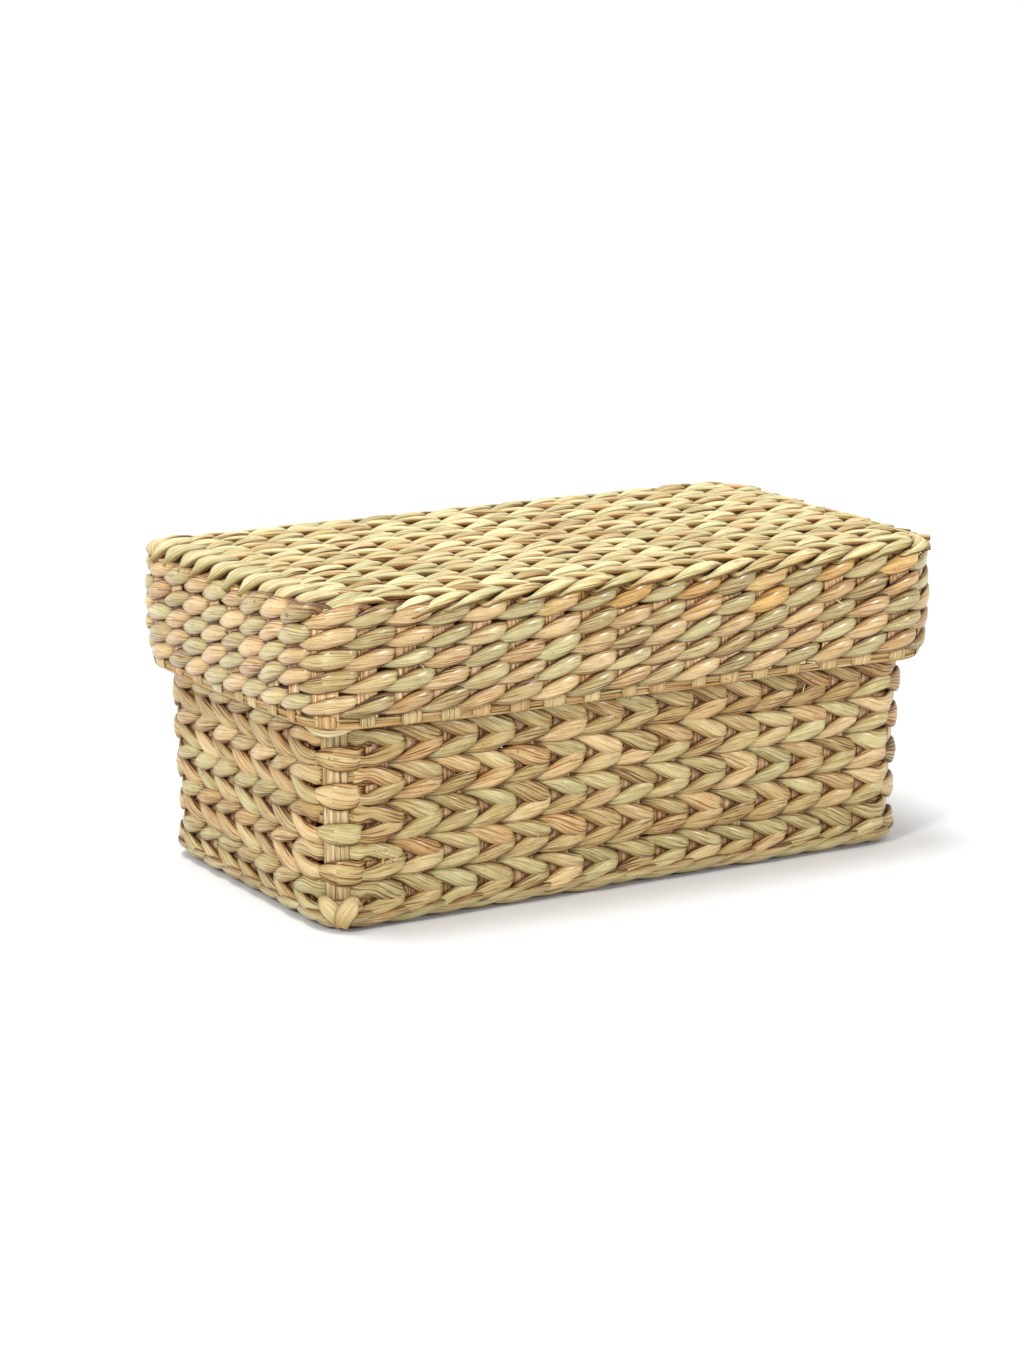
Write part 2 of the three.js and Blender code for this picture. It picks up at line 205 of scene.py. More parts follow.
@dataclass
class MeshPile:
    """Grids of points that together make one piece, with what its material reads.

    Attributes:
        points: vertices of each grid.
        corners: vertex of each face corner.
        starts: first corner of each face.
        marks: place along and across the fibres of each face corner.
        tones: colour of the strand at each vertex, from pale green at 0 to amber at 1.
        shades: brightness at each vertex, which holds the painted shade and light of each piece.
        low: lowest corner of the space that the soft strands are pressed into.
        high: its highest corner.
        vertices: vertices so far.
        loops: face corners so far.
    """

    points: list[Array] = field(default_factory=list)
    corners: list[Array] = field(default_factory=list)
    starts: list[Array] = field(default_factory=list)
    marks: list[Array] = field(default_factory=list)
    tones: list[Array] = field(default_factory=list)
    shades: list[Array] = field(default_factory=list)
    low: Array = field(default_factory=lambda: np.array(cad_bounds[0]))
    high: Array = field(default_factory=lambda: np.array(cad_bounds[1]))
    vertices: int = 0
    loops: int = 0

    def add_tube(
        self,
        grid: Array,
        along: Array,
        across: Array,
        tone: Array,
        shade: Array,
        closed: bool,
        twist: float = 0.0,
    ) -> None:
        """Adds a tube: a grid of sections that each close on themselves.

        Args:
            grid: points, one row for each station along and one column for each place round the section.
            along: way along the fibres at each station, with one more for the closing station.
            across: way round the section at each column, with one more for the closing column.
            tone: colour at each station.
            shade: brightness at each station, or at each point.
            closed: whether the last station joins the first. Otherwise each end gets a flat cap.
            twist: way across that the fibres go for each way along.
        """
        stations, columns = grid.shape[:2]
        i = np.arange(stations if closed else stations - 1)[:, None]
        j = np.arange(columns)[None, :]
        after, beside = (i + 1) % stations, (j + 1) % columns
        quads = np.stack(
            [i * columns + j, after * columns + j, after * columns + beside, i * columns + beside], axis=-1
        )
        i, j = np.broadcast_arrays(i, j)
        mark_along = np.stack([along[i], along[i + 1], along[i + 1], along[i]], axis=-1)
        mark_across = np.stack([across[j], across[j], across[j + 1], across[j + 1]], axis=-1)
        mark = np.stack([mark_along, mark_across + twist * mark_along], axis=-1).reshape(-1, 2)
        corner = quads.ravel()
        start = np.arange(quads.size // 4) * 4
        if not closed:
            first = np.arange(columns)[::-1]
            last = (stations - 1) * columns + np.arange(columns)
            start = np.concatenate([start, [len(corner), len(corner) + columns]])
            corner = np.concatenate([corner, first, last])
            ends = np.repeat([[along[0], across[0]], [along[stations - 1], across[0]]], columns, axis=0)
            mark = np.concatenate([mark, ends])
        self.corners.append(corner + self.vertices)
        self.starts.append(start + self.loops)
        self.marks.append(mark)
        self.points.append(np.clip(grid.reshape(-1, 3), self.low, self.high))
        self.tones.append(np.repeat(tone, columns))
        each = shade if shade.ndim == 2 else shade[:, None]
        self.shades.append(np.broadcast_to(each, (stations, columns)).ravel())
        self.vertices += stations * columns
        self.loops += len(corner)

    def piece(
        self, name: str, material: bpy.types.Material, body: str, slot: str, *nodes: str
    ) -> bpy.types.Object:
        """Makes the piece's object from all grids and ties it to the frame.

        Args:
            name: the piece's name.
            material: its finish.
            body: the body that it rides on.
            slot: the slot of its finish; it is not used.
            nodes: CAD nodes that it stands for.

        Returns:
            The object, at the origin, with its place in its mesh.
        """
        mesh = bpy.data.meshes.new(name)
        mesh.vertices.add(self.vertices)
        mesh.vertices.foreach_set("co", np.concatenate(self.points).astype(np.float32).ravel())
        mesh.loops.add(self.loops)
        mesh.loops.foreach_set("vertex_index", np.concatenate(self.corners).astype(np.int32))
        starts = np.concatenate(self.starts).astype(np.int32)
        mesh.polygons.add(len(starts))
        mesh.polygons.foreach_set("loop_start", starts)
        mesh.polygons.foreach_set("use_smooth", np.ones(len(starts), dtype=bool))
        uv = mesh.uv_layers.new(name="fibres")
        uv.data.foreach_set("uv", np.concatenate(self.marks).astype(np.float32).ravel())
        for label, values in (("tone", self.tones), ("shade", self.shades)):
            attribute = mesh.attributes.new(label, "FLOAT", "POINT")
            attribute.data.foreach_set("value", np.concatenate(values).astype(np.float32))
        mesh.update(calc_edges=True)
        mesh.materials.append(material)
        obj = bpy.data.objects.new(name, mesh)
        bpy.context.scene.collection.objects.link(obj)
        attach(obj, body)
        if nodes:
            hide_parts(*nodes)
        log.info("%s rides on %s: %d faces", name, body, len(mesh.polygons))
        return obj


@dataclass(frozen=True)
class Lift:
    """How far a handmade lid stands up at its near left corner.

    Attributes:
        height: greatest rise at the corner.
        foot_share: share of the rise at the foot of the lid.
        foot: level of the foot.
        full: level from which the rise is full.
        head: level up to which it is full.
        ceiling: level at which nothing rises any more.
        reach: stakes over which it fades.
        total: stakes all the way round.
    """

    height: float
    foot_share: float
    foot: float
    full: float
    head: float
    ceiling: float
    reach: float
    total: int

    def at(self, place: Array, level: Array) -> Array:
        """Rise of the lid: a bell curve of the way from the corner, growing and fading with the level.

        Args:
            place: places, in stakes from the near left corner.
            level: heights.

        Returns:
            The rise at each of them.
        """
        away = np.mod(place + self.total / 2, self.total) - self.total / 2
        share = self.foot_share + (1 - self.foot_share) * smooth(self.foot, self.full, level)
        share = share * np.clip((self.ceiling - level) / (self.ceiling - self.head), 0.0, 1.0)
        return self.height * share * np.exp(-((away / self.reach) ** 2))


@dataclass(frozen=True)
class WallLine:
    """The line that a wall's stakes follow: a rounded rectangle.

    Place 0 is the near left corner, and places rise to the right as seen from outside.

    Attributes:
        half_length: from the middle to the short walls, where the wall is fullest.
        half_width: from the middle to the long walls.
        radius: of the corners.
        counts: stakes along a long and along a short side.
        draw: how far the walls stand in at the level draw_foot.
        draw_foot: level at which they stand in most.
        draw_head: level at which they are fullest.
        lift: rise of the wall at a corner, if any.
    """

    half_length: float
    half_width: float
    radius: float
    counts: tuple[int, int]
    draw: float
    draw_foot: float
    draw_head: float
    lift: Lift | None = None

    @property
    def total(self) -> int:
        """Stakes all the way round."""
        return 2 * sum(self.counts)

    @property
    def corners(self) -> tuple[int, int, int, int]:
        """Places of the corners."""
        long, short = self.counts
        return 0, long, long + short, 2 * long + short

    def locate(self, place: Array, level: Array) -> tuple[Array, Array, Array]:
        """Points of the line, with the way out of the wall and the way along it.

        The way walked from a corner's middle is first half its arc, then the straight, then half the next
        arc. On an arc the outward way turns with the way walked over the radius.

        Args:
            place: places, in stakes from the near left corner.
            level: heights at which the line is wanted.

        Returns:
            Points, outward unit vectors and forward unit vectors.
        """
        long, short = self.counts
        starts = np.array(self.corners)
        around = np.mod(place, self.total)
        side = np.searchsorted(starts, around, side="right") - 1
        inset = self.draw * np.clip((self.draw_head - level) / (self.draw_head - self.draw_foot), 0.0, 1.0)
        on_long = side % 2 == 0
        half = np.where(on_long, self.half_length, self.half_width) - inset
        other = np.where(on_long, self.half_width, self.half_length) - inset
        share = (around - starts[side]) / np.where(on_long, long, short)
        arc = math.pi / 4 * self.radius
        straight = half - self.radius
        walked = share * 2 * (straight + arc)
        past = np.maximum(0.0, walked - arc - 2 * straight)
        before = np.maximum(0.0, arc - walked)
        swing = (past - before) / self.radius
        step = np.clip(walked - arc, 0.0, 2 * straight) - straight
        turn = side * math.pi / 2
        none = np.zeros_like(turn)
        forward = np.stack([np.cos(turn), np.sin(turn), none], axis=-1)
        outward = np.stack([np.sin(turn), -np.cos(turn), none], axis=-1)
        normal = outward * np.cos(swing)[..., None] + forward * np.sin(swing)[..., None]
        tangent = forward * np.cos(swing)[..., None] - outward * np.sin(swing)[..., None]
        point = forward * step[..., None] + outward * (other - self.radius)[..., None] + normal * self.radius
        rise = level + (self.lift.at(place, level) if self.lift else 0.0)
        return point + rise[..., None] * UP, normal, tangent


class Course(Protocol):
    """Path of a row of strands, with places counted in stakes."""

    total: int
    corners: tuple[int, ...]

    def frames(self, place: Array) -> tuple[Array, Array, Array]:
        """Points, outward and forward unit vectors at the given places."""

    def wall(self, stake: Array) -> Array:
        """0 for stakes of the long walls, 1 for those of the short ones."""


@dataclass(frozen=True)
class WallCourse:
    """A row round a wall.

    Attributes:
        line: line of the stakes.
        level: height of the row's middle.
        tilt: angle by which the row's outward way turns up.
    """

    line: WallLine
    level: float
    tilt: float = 0.0

    @property
    def total(self) -> int:
        """Stakes all the way round."""
        return self.line.total

    @property
    def corners(self) -> tuple[int, ...]:
        """Places of the corners."""
        return self.line.corners

    def frames(self, place: Array) -> tuple[Array, Array, Array]:
        """Points, outward and forward unit vectors at the given places."""
        point, normal, forward = self.line.locate(place, np.full(place.shape, self.level))
        return point, normal * math.cos(self.tilt) + UP * math.sin(self.tilt), forward

    def wall(self, stake: Array) -> Array:
        """0 for stakes of the long walls, 1 for those of the short ones."""
        return (np.searchsorted(np.array(self.corners), stake, side="right") - 1) % 2


@dataclass(frozen=True)
class MatCourse:
    """A straight row across a mat, along the length of the box.

    Attributes:
        first_stake: x of the stake at place 1.
        pitch: from stake to stake.
        across: y of the row.
        level: height of the stakes.
        face: 1 where the mat is seen from above, -1 where it is seen from below.
        total: more stakes than the row has.
    """

    first_stake: float
    pitch: float
    across: float
    level: float
    face: int
    total: int = 64
    corners: tuple[int, ...] = ()

    def frames(self, place: Array) -> tuple[Array, Array, Array]:
        """Points, outward and forward unit vectors at the given places."""
        x = self.first_stake + (place - 1) * self.pitch
        point = np.stack([x, np.full_like(x, self.across), np.full_like(x, self.level)], axis=-1)
        outward = np.broadcast_to(UP * self.face, point.shape)
        return point, outward, np.broadcast_to([1.0, 0.0, 0.0], point.shape)

    def wall(self, stake: Array) -> Array:
        """0 for all stakes."""
        return np.zeros_like(stake)


@dataclass(frozen=True)
class StitchShape:
    """One stitch of a twined strand, from behind one stake to behind the next but one.

    Attributes:
        way_shares: places within the stitch, in stakes from its own stake.
        out_shares: from -1, behind the stakes, to 1, in front of them.
        rise_shares: of the row's rise.
        wide_shares: of the stitch's greatest half width.
        thick_shares: of the stitch's greatest half thickness.
    """

    way_shares: tuple[float, ...] = (-1.0, -0.84, -0.71, -0.5, -0.2, 0.12, 0.4, 0.58, 0.69, 0.83)
    out_shares: tuple[float, ...] = (-1.0, -0.85, -0.2, 0.45, 0.86, 1.0, 0.88, 0.6, -0.2, -0.92)
    rise_shares: tuple[float, ...] = (0.0, -0.85, -1.05, -0.98, -0.5, 0.2, 0.72, 0.96, 1.05, 0.6)
    wide_shares: tuple[float, ...] = (1.22, 1.0, 0.39, 0.5, 0.85, 1.03, 0.98, 0.86, 0.76, 1.05)
    thick_shares: tuple[float, ...] = (0.58, 0.52, 0.5, 0.68, 0.95, 1.05, 0.92, 0.76, 0.66, 0.6)

    def read(self, label: str, way: Array) -> Array:
        """One of the stitch's curves at the given places within the stitch."""
        return round_curve(np.array(self.way_shares), np.array(getattr(self, label)), way, 2.0)


WALL_STITCH = StitchShape()
LONG_STITCH = StitchShape(
    way_shares=(-1.0, -0.92, -0.82, -0.56, -0.2, 0.2, 0.54, 0.76, 0.86, 0.94),
    out_shares=(-1.0, -0.85, -0.3, 0.4, 0.88, 1.0, 0.76, 0.3, -0.3, -0.85),
    rise_shares=(0.0, -0.8, -1.0, -0.78, -0.3, 0.3, 0.78, 1.0, 0.95, 0.6),
    wide_shares=(1.0, 0.85, 0.4, 0.6, 0.94, 1.0, 0.8, 0.56, 0.5, 0.8),
)


@dataclass(frozen=True)
class Strand:
    """Sizes of a strand in a row.

    Attributes:
        half_wide: half the width of a stitch where it is widest.
        half_thick: half its thickness there.
        front: how far its middle stands out in front of a stake.
        back: how far its middle stands in behind a stake.
        rise: how far its middle rises or falls from the middle of the row.
        stations: sections along one stake's pitch.
        columns: points round a section.
        sharp: power of the section's bulge; over 1 its edges are sharp.
        follow: share of the strand's climb that its section turns with.
    """

    half_wide: float
    half_thick: float
    front: float
    back: float
    rise: float
    stations: int = 14
    columns: int = 12
    sharp: float = 1.2
    follow: float = 0.6


@dataclass(frozen=True)
class HandWork:
    """How far stitches made by hand differ, as spreads of a bell curve.

    Attributes:
        most: greatest difference, in spreads.
        rise: of a stitch's rise, as a share.
        wide: of its width, as a share.
        thick: of its thickness, as a share.
        out: of how far it stands out.
        up: of its height.
        place: of its place, in stakes.
        turn: of where its dents lie round the section, in radians.
        tone: of its colour.
        shade: of its brightness, as a share.
        drift: most by which the colour drifts along a row.
        dents: depths of the broad and of the fine dents round a section, as shares.
        dent_counts: how many of them there are.
        dent_wind: how far the broad ones wind round the strand within one stake, in radians.
    """

    most: float = 2.0
    rise: float = 0.14
    wide: float = 0.08
    thick: float = 0.08
    out: float = 0.00012
    up: float = 0.00018
    place: float = 0.03
    turn: float = 1.2
    tone: float = 0.1
    shade: float = 0.09
    drift: float = 0.06
    dents: tuple[float, float] = (0.04, 0.03)
    dent_counts: tuple[int, int] = (3, 5)
    dent_wind: float = 0.8


@dataclass(frozen=True)
class CornerShape:
    """How stitches change at a corner stake.

    Attributes:
        bulge: how much further a stitch in front of the stake stands out.
        wide: how much wider it is, as a factor.
        short: how much shorter it is, as a factor.
        level: share of its rise that it loses.
        beside: stakes from the corner between which its neighbours change.
        beside_wide: least width of its neighbours, as a share.
        beside_level: share of their rise that they lose.
        tucked: way within a stitch up to which it is fully tucked behind the stake.
        behind: how far it lies behind the stake, as a share of the strand's swing.
        out: how far it comes forward again beside the stake, as such a share.
        out_ways: ways within the stitch between which it does.
        behind_wide: its width and that of its neighbours, as a share.
        behind_near: stakes from the corner between which its neighbours change.
        behind_level: share of their rise that they lose.
        behind_shade: its brightness, as a share: painted shade behind the corner stake.
    """

    bulge: float = 0.0002
    wide: float = 1.34
    short: float = 1.22
    level: float = 0.9
    beside: tuple[float, float] = (0.95, 0.4)
    beside_wide: float = 0.85
    beside_level: float = 0.4
    tucked: float = 0.85
    behind: float = 0.7
    out: float = 0.65
    out_ways: tuple[float, float] = (0.26, 0.37)
    behind_wide: float = 1.15
    behind_near: tuple[float, float] = (1.0, 0.45)
    behind_level: float = 0.85
    behind_shade: float = 0.75


@dataclass(frozen=True)
class Shading:
    """Painted shade along and round a strand.

    Attributes:
        deep_outs: out shares between which a strand comes from the painted shade behind the stakes into full
            brightness.
        painted_edge_shade: share of brightness lost at its two edges, painted shade where it meets its
            neighbours.
        edge_power: power of the sine round the section that darkens them.
        inside: least brightness of the side that faces into the box, where the painted shade behind the
            stakes is lighter.
        inside_turn: cosines of the way round between which that side starts.
    """

    deep_outs: tuple[float, float] = (-0.75, 0.25)
    painted_edge_shade: float = 0.78
    edge_power: int = 6
    inside: float = 0.85
    inside_turn: tuple[float, float] = (0.2, -0.7)


HAND_WORK = HandWork()
CORNER = CornerShape()
SHADING = Shading()
MEETING = 0.55  # way within a stitch from which it takes on the values of the next one
OVER_STAKE = 0.45  # way within a stitch up to which it lies fully over its stake


def per_stitch(values: Array, number: Array, way: Array) -> Array:
    """Carries one value for each stitch over to the next, half and half where they meet behind a stake.

    Args:
        values: one for each stitch of the strand.
        number: the stitch that each station belongs to.
        way: place within the stitch, from -1 to 1.

    Returns:
        One value for each station.
    """
    count = len(values)
    ahead = np.where(way > 0, 1, -1)
    share = smooth(MEETING, 1.0, np.abs(way)) / 2
    return values[number % count] * (1 - share) + values[(number + ahead) % count] * share


@dataclass
class TwinedRow:
    """Two strands twisted round the stakes of one course.

    Attributes:
        course: path of the row.
        lean: which way the stitches lean.
        strand: sizes of the strands.
        tones: colour of the first and of the second strand.
        seed: of the row's small irregularities.
        passing: how the row passes the corner stakes.
        stitch: shape of a stitch.
        out: how far the whole row stands out from its course.
        span: first and last place of an open row. A closed row has none.
        tuck: how far an open row's ends dive.
        end_wide: width of an open row's ends, as a share.
        end_reach: stakes over which they narrow.
        shade: brightness of the whole row, where painted shade or light is set.
        deep: painted shade behind the stakes, as a share of the brightness.
        ripe: how much more amber the strands are towards the right end of the front wall.
        ripe_stakes: stakes of the front wall between which they ripen.
        most_tone: greatest tone that a strand has before it ripens.
        uneven: factor on all irregularities.
    """

    course: Course
    lean: Lean
    strand: Strand
    tones: tuple[float, float]
    seed: int
    passing: CornerPass = CornerPass.PLAIN
    stitch: StitchShape = WALL_STITCH
    out: float = 0.0
    span: tuple[float, float] | None = None
    tuck: float = 0.0
    end_wide: float = 0.4
    end_reach: float = 0.6
    shade: float = 1.0
    deep: float = 0.3
    ripe: float = 0.0
    ripe_stakes: tuple[float, float] = (4.0, 10.0)
    most_tone: float = 0.8
    uneven: float = 1.0

    def weave(self, pile: MeshPile) -> None:
        """Adds both strands to a pile."""
        rng = np.random.default_rng(self.seed)
        for which in (0, 1):
            self._weave_strand(pile, which, rng)

    def _places(self) -> tuple[Array, bool]:
        """Places of the strand's stations, and whether they close on themselves.

        Returns:
            Both of them. The stations are evenly spaced.
        """
        if self.span is None:
            return np.arange(self.course.total * self.strand.stations) / self.strand.stations, True
        first, last = self.span
        return np.linspace(first, last, 1 + round((last - first) * self.strand.stations)), False

    def _from_corner(self, place: Array) -> Array:
        """Way from each place to the nearest corner stake.

        Args:
            place: places, in stakes.

        Returns:
            The way in stakes, for each of them.
        """
        half = self.course.total / 2
        away = np.mod(place[:, None] - np.array(self.course.corners)[None, :] + half, 2 * half) - half
        return np.abs(away).min(axis=1)

    def _weave_strand(self, pile: MeshPile, which: int, rng: np.random.Generator) -> None:
        """Adds one strand: an oval section carried along the stitch curves.

        A point is the course's point, plus the outward way times the strand's out curve, plus the upward way
        times its rise, plus the section: the thickness times the cosine of the angle round it, along the
        outward way, and the width times the sine, across the strand.

        Args:
            pile: where the strand goes.
            which: 0 or 1, the stake at which its first stitch is in front.
            rng: source of the small irregularities.
        """
        course, strand, shape = self.course, self.strand, self.stitch
        place, closed = self._places()
        stitches = course.total // 2
        number = np.floor((place - which + 1) / 2).astype(int)
        way = place - which - 2 * number
        stake = np.mod(which + 2 * number, course.total)

        def vary(spread: float) -> Array:
            """Irregularity of each stitch, carried over to the stations."""
            each = rng.normal(0.0, 1.0, stitches).clip(-HAND_WORK.most, HAND_WORK.most)
            return per_stitch(each * spread * self.uneven, number, way)

        at_corner = np.isin(stake, course.corners)
        short = at_corner & (self.passing is CornerPass.FRONT)
        within = np.where(short, np.clip(way * CORNER.short, -1.0, 1.0), way)
        front = shape.read("out_shares", within)
        rise = shape.read("rise_shares", within) * (1 + vary(HAND_WORK.rise))
        wide = shape.read("wide_shares", within) * (1 + vary(HAND_WORK.wide))
        thick = shape.read("thick_shares", within) * (1 + vary(HAND_WORK.thick))
        over = smooth(1.0, OVER_STAKE, np.abs(within))
        extra = np.zeros_like(place)
        hidden = np.zeros_like(place)
        if self.passing is CornerPass.BEHIND:
            hidden = np.where(at_corner, smooth(1.0, CORNER.tucked, np.abs(way)), 0.0)
            forth = CORNER.out * smooth(*CORNER.out_ways, np.abs(way))
            front = front * (1 - hidden) - (CORNER.behind - forth) * hidden
            rise = rise * (1 - hidden)
            wide = wide * (1 - hidden) + CORNER.behind_wide * hidden
            near = smooth(*CORNER.behind_near, self._from_corner(place))
            wide = np.maximum(wide, CORNER.behind_wide * near)
            rise = rise * (1 - CORNER.behind_level * near)
        if self.passing is CornerPass.FRONT:
            wrapped = np.where(at_corner, over, 0.0)
            rise = rise * (1 - CORNER.level * wrapped)
            wide = wide * (1 + (CORNER.wide - 1) * wrapped)
            extra = CORNER.bulge * wrapped
            near = smooth(*CORNER.beside, self._from_corner(place)) * ~at_corner
            wide = np.maximum(wide, CORNER.beside_wide * near)
            rise = rise * (1 - CORNER.beside_level * near)
        middle, swing = (strand.front - strand.back) / 2, (strand.front + strand.back) / 2
        out = self.out + middle + swing * front + extra + vary(HAND_WORK.out) * over
        if not closed:
            near_end = np.minimum(place - place[0], place[-1] - place)
            out = out - self.tuck * smooth(1.0, 0.0, near_end)
            wide = wide * (self.end_wide + (1 - self.end_wide) * smooth(0.0, self.end_reach, near_end))
        lean = np.array(self.lean.value)[course.wall(stake)]
        up = lean * strand.rise * rise + vary(HAND_WORK.up)
        point, outward, forward = course.frames(place + vary(HAND_WORK.place))
        upward = np.cross(outward, forward)

        step = np.linalg.norm(change(point, closed), axis=1)
        climb = np.arctan2(change(up, closed), step)[:, None]
        dive = np.arctan2(change(out, closed), step)[:, None]
        climb, dive = strand.follow * climb, strand.follow * dive
        across = upward * np.cos(climb) - forward * np.sin(climb)
        face = outward * np.cos(dive) - forward * np.sin(dive)
        centre = point + outward * out[:, None] + upward * up[:, None]

        angle = np.linspace(0.0, 2 * math.pi, strand.columns, endpoint=False)[None, :]
        turned = vary(HAND_WORK.turn)[:, None]
        (broad, fine), (few, many) = HAND_WORK.dents, HAND_WORK.dent_counts
        reach = 1.0 + broad * np.sin(few * angle + turned + HAND_WORK.dent_wind * way[:, None])
        reach = reach + fine * np.sin(many * angle + 2 * turned)
        bulge = np.sign(np.cos(angle)) * np.abs(np.cos(angle)) ** strand.sharp
        section_out = (thick * strand.half_thick)[:, None] * bulge * reach
        section_across = (wide * strand.half_wide)[:, None] * np.sin(angle) * reach
        grid = centre[:, None, :] + face[:, None, :] * section_out[..., None]
        grid = grid + across[:, None, :] * section_across[..., None]

        waves = place / course.total * rng.integers(2, 6) + rng.random()
        drift = HAND_WORK.drift * np.sin(2 * math.pi * waves)
        ripe = 0.0
        if self.ripe:
            ripe = self.ripe * smooth(*self.ripe_stakes, stake) * (stake < course.corners[1] + 1)
        tone = np.clip(self.tones[which] + drift + vary(HAND_WORK.tone), 0.0, self.most_tone)
        tone = tone + ripe * self.tones[which]
        # painted shade: darker behind the stakes and at the strand's two edges, where it meets its
        # neighbours, and less dark on the side that faces into the box
        deep = self.deep + (1 - self.deep) * smooth(*SHADING.deep_outs, front)
        deep = deep * (1 - hidden) + CORNER.behind_shade * hidden
        edges = 1 - SHADING.painted_edge_shade * np.abs(np.sin(angle)) ** SHADING.edge_power
        inner = smooth(*SHADING.inside_turn, np.cos(angle))
        deep = deep[:, None] + (SHADING.inside - deep[:, None]).clip(0.0) * inner
        shade = (self.shade * (1 + vary(HAND_WORK.shade)))[:, None] * deep * edges
        run = np.append(np.cumsum(step), np.sum(step) + step[0]) * FIBRE_SCALE
        girth = np.linspace(0.0, 4 * strand.half_wide * FIBRE_SCALE, strand.columns + 1)
        marks = girth + self.seed + FIBRE_SHIFT * which
        pile.add_tube(grid, run, marks, tone, shade, closed, FIBRE_TWIST)


@dataclass(frozen=True)
class Leaf:
    """A short piece of rush with its own path, such as a folded stake end or a stray fibre.

    Attributes:
        spine: knots of its path.
        face: way out of its flat side, once or at each knot.
        half_wide: half its width at each knot.
        half_thick: half its thickness in the middle.
        tone: its colour.
        shade: its brightness at the first knot, in the middle and at the last; darker ends are painted shade.
        stations: sections along it.
        columns: points round a section.
        pleats: folds across its width.
        sharp: power of the section's bulge; over 1 its edges are sharp.
        pleat_share: depth of the folds, as a share of its thickness.
        painted_edge_shade: share of its brightness lost at its two edges, painted shade.
        edge_power: power of the sine round the section that darkens them.
    """

    spine: Array
    face: Array
    half_wide: tuple[float, ...]
    half_thick: float
    tone: float
    shade: tuple[float, float, float] = (1.0, 1.0, 1.0)
    stations: int = 12
    columns: int = 12
    pleats: int = 0
    sharp: float = 0.5
    pleat_share: float = 0.35
    painted_edge_shade: float = 0.35
    edge_power: int = 8

    def lay(self, pile: MeshPile, seed: float) -> None:
        """Adds the leaf to a pile.

        The section is an oval that is square to the path. Its pleats are waves of the thickness across it.

        Args:
            pile: where the leaf goes.
            seed: start of its fibre marks.
        """
        path = open_curve(np.asarray(self.spine), self.stations)
        wide = open_curve(np.array(self.half_wide)[:, None], self.stations)[:, 0]
        facing = np.asarray(self.face, dtype=float)
        turning = facing.ndim == 2
        facing = open_curve(facing, self.stations) if turning else np.broadcast_to(facing, path.shape)
        along = unit(np.gradient(path, axis=0))
        across = unit(np.cross(facing, along))
        out = np.cross(along, across)
        angle = np.linspace(0.0, 2 * math.pi, self.columns, endpoint=False)
        fold = self.pleat_share * np.cos(self.pleats * math.pi * np.sin(angle))
        fold = 1.0 + fold * (self.pleats > 0)
        thick = self.half_thick * np.sign(np.cos(angle)) * np.abs(np.cos(angle)) ** self.sharp * fold
        grid = path[:, None, :] + across[:, None, :] * (wide[:, None] * np.sin(angle))[..., None]
        grid = grid + out[:, None, :] * thick[None, :, None]
        run = np.append(0.0, np.cumsum(np.linalg.norm(np.diff(path, axis=0), axis=1)))
        girth = np.linspace(0.0, 4 * max(self.half_wide), self.columns + 1)
        # painted shade along the leaf and at its two edges
        shade = open_curve(np.array(self.shade)[:, None], self.stations)
        shade = shade * (1 - self.painted_edge_shade * np.abs(np.sin(angle)) ** self.edge_power)
        pile.add_tube(
            grid,
            np.append(run, run[-1]) * FIBRE_SCALE,
            girth * FIBRE_SCALE + seed,
            np.full(self.stations, self.tone),
            shade,
            closed=False,
        )


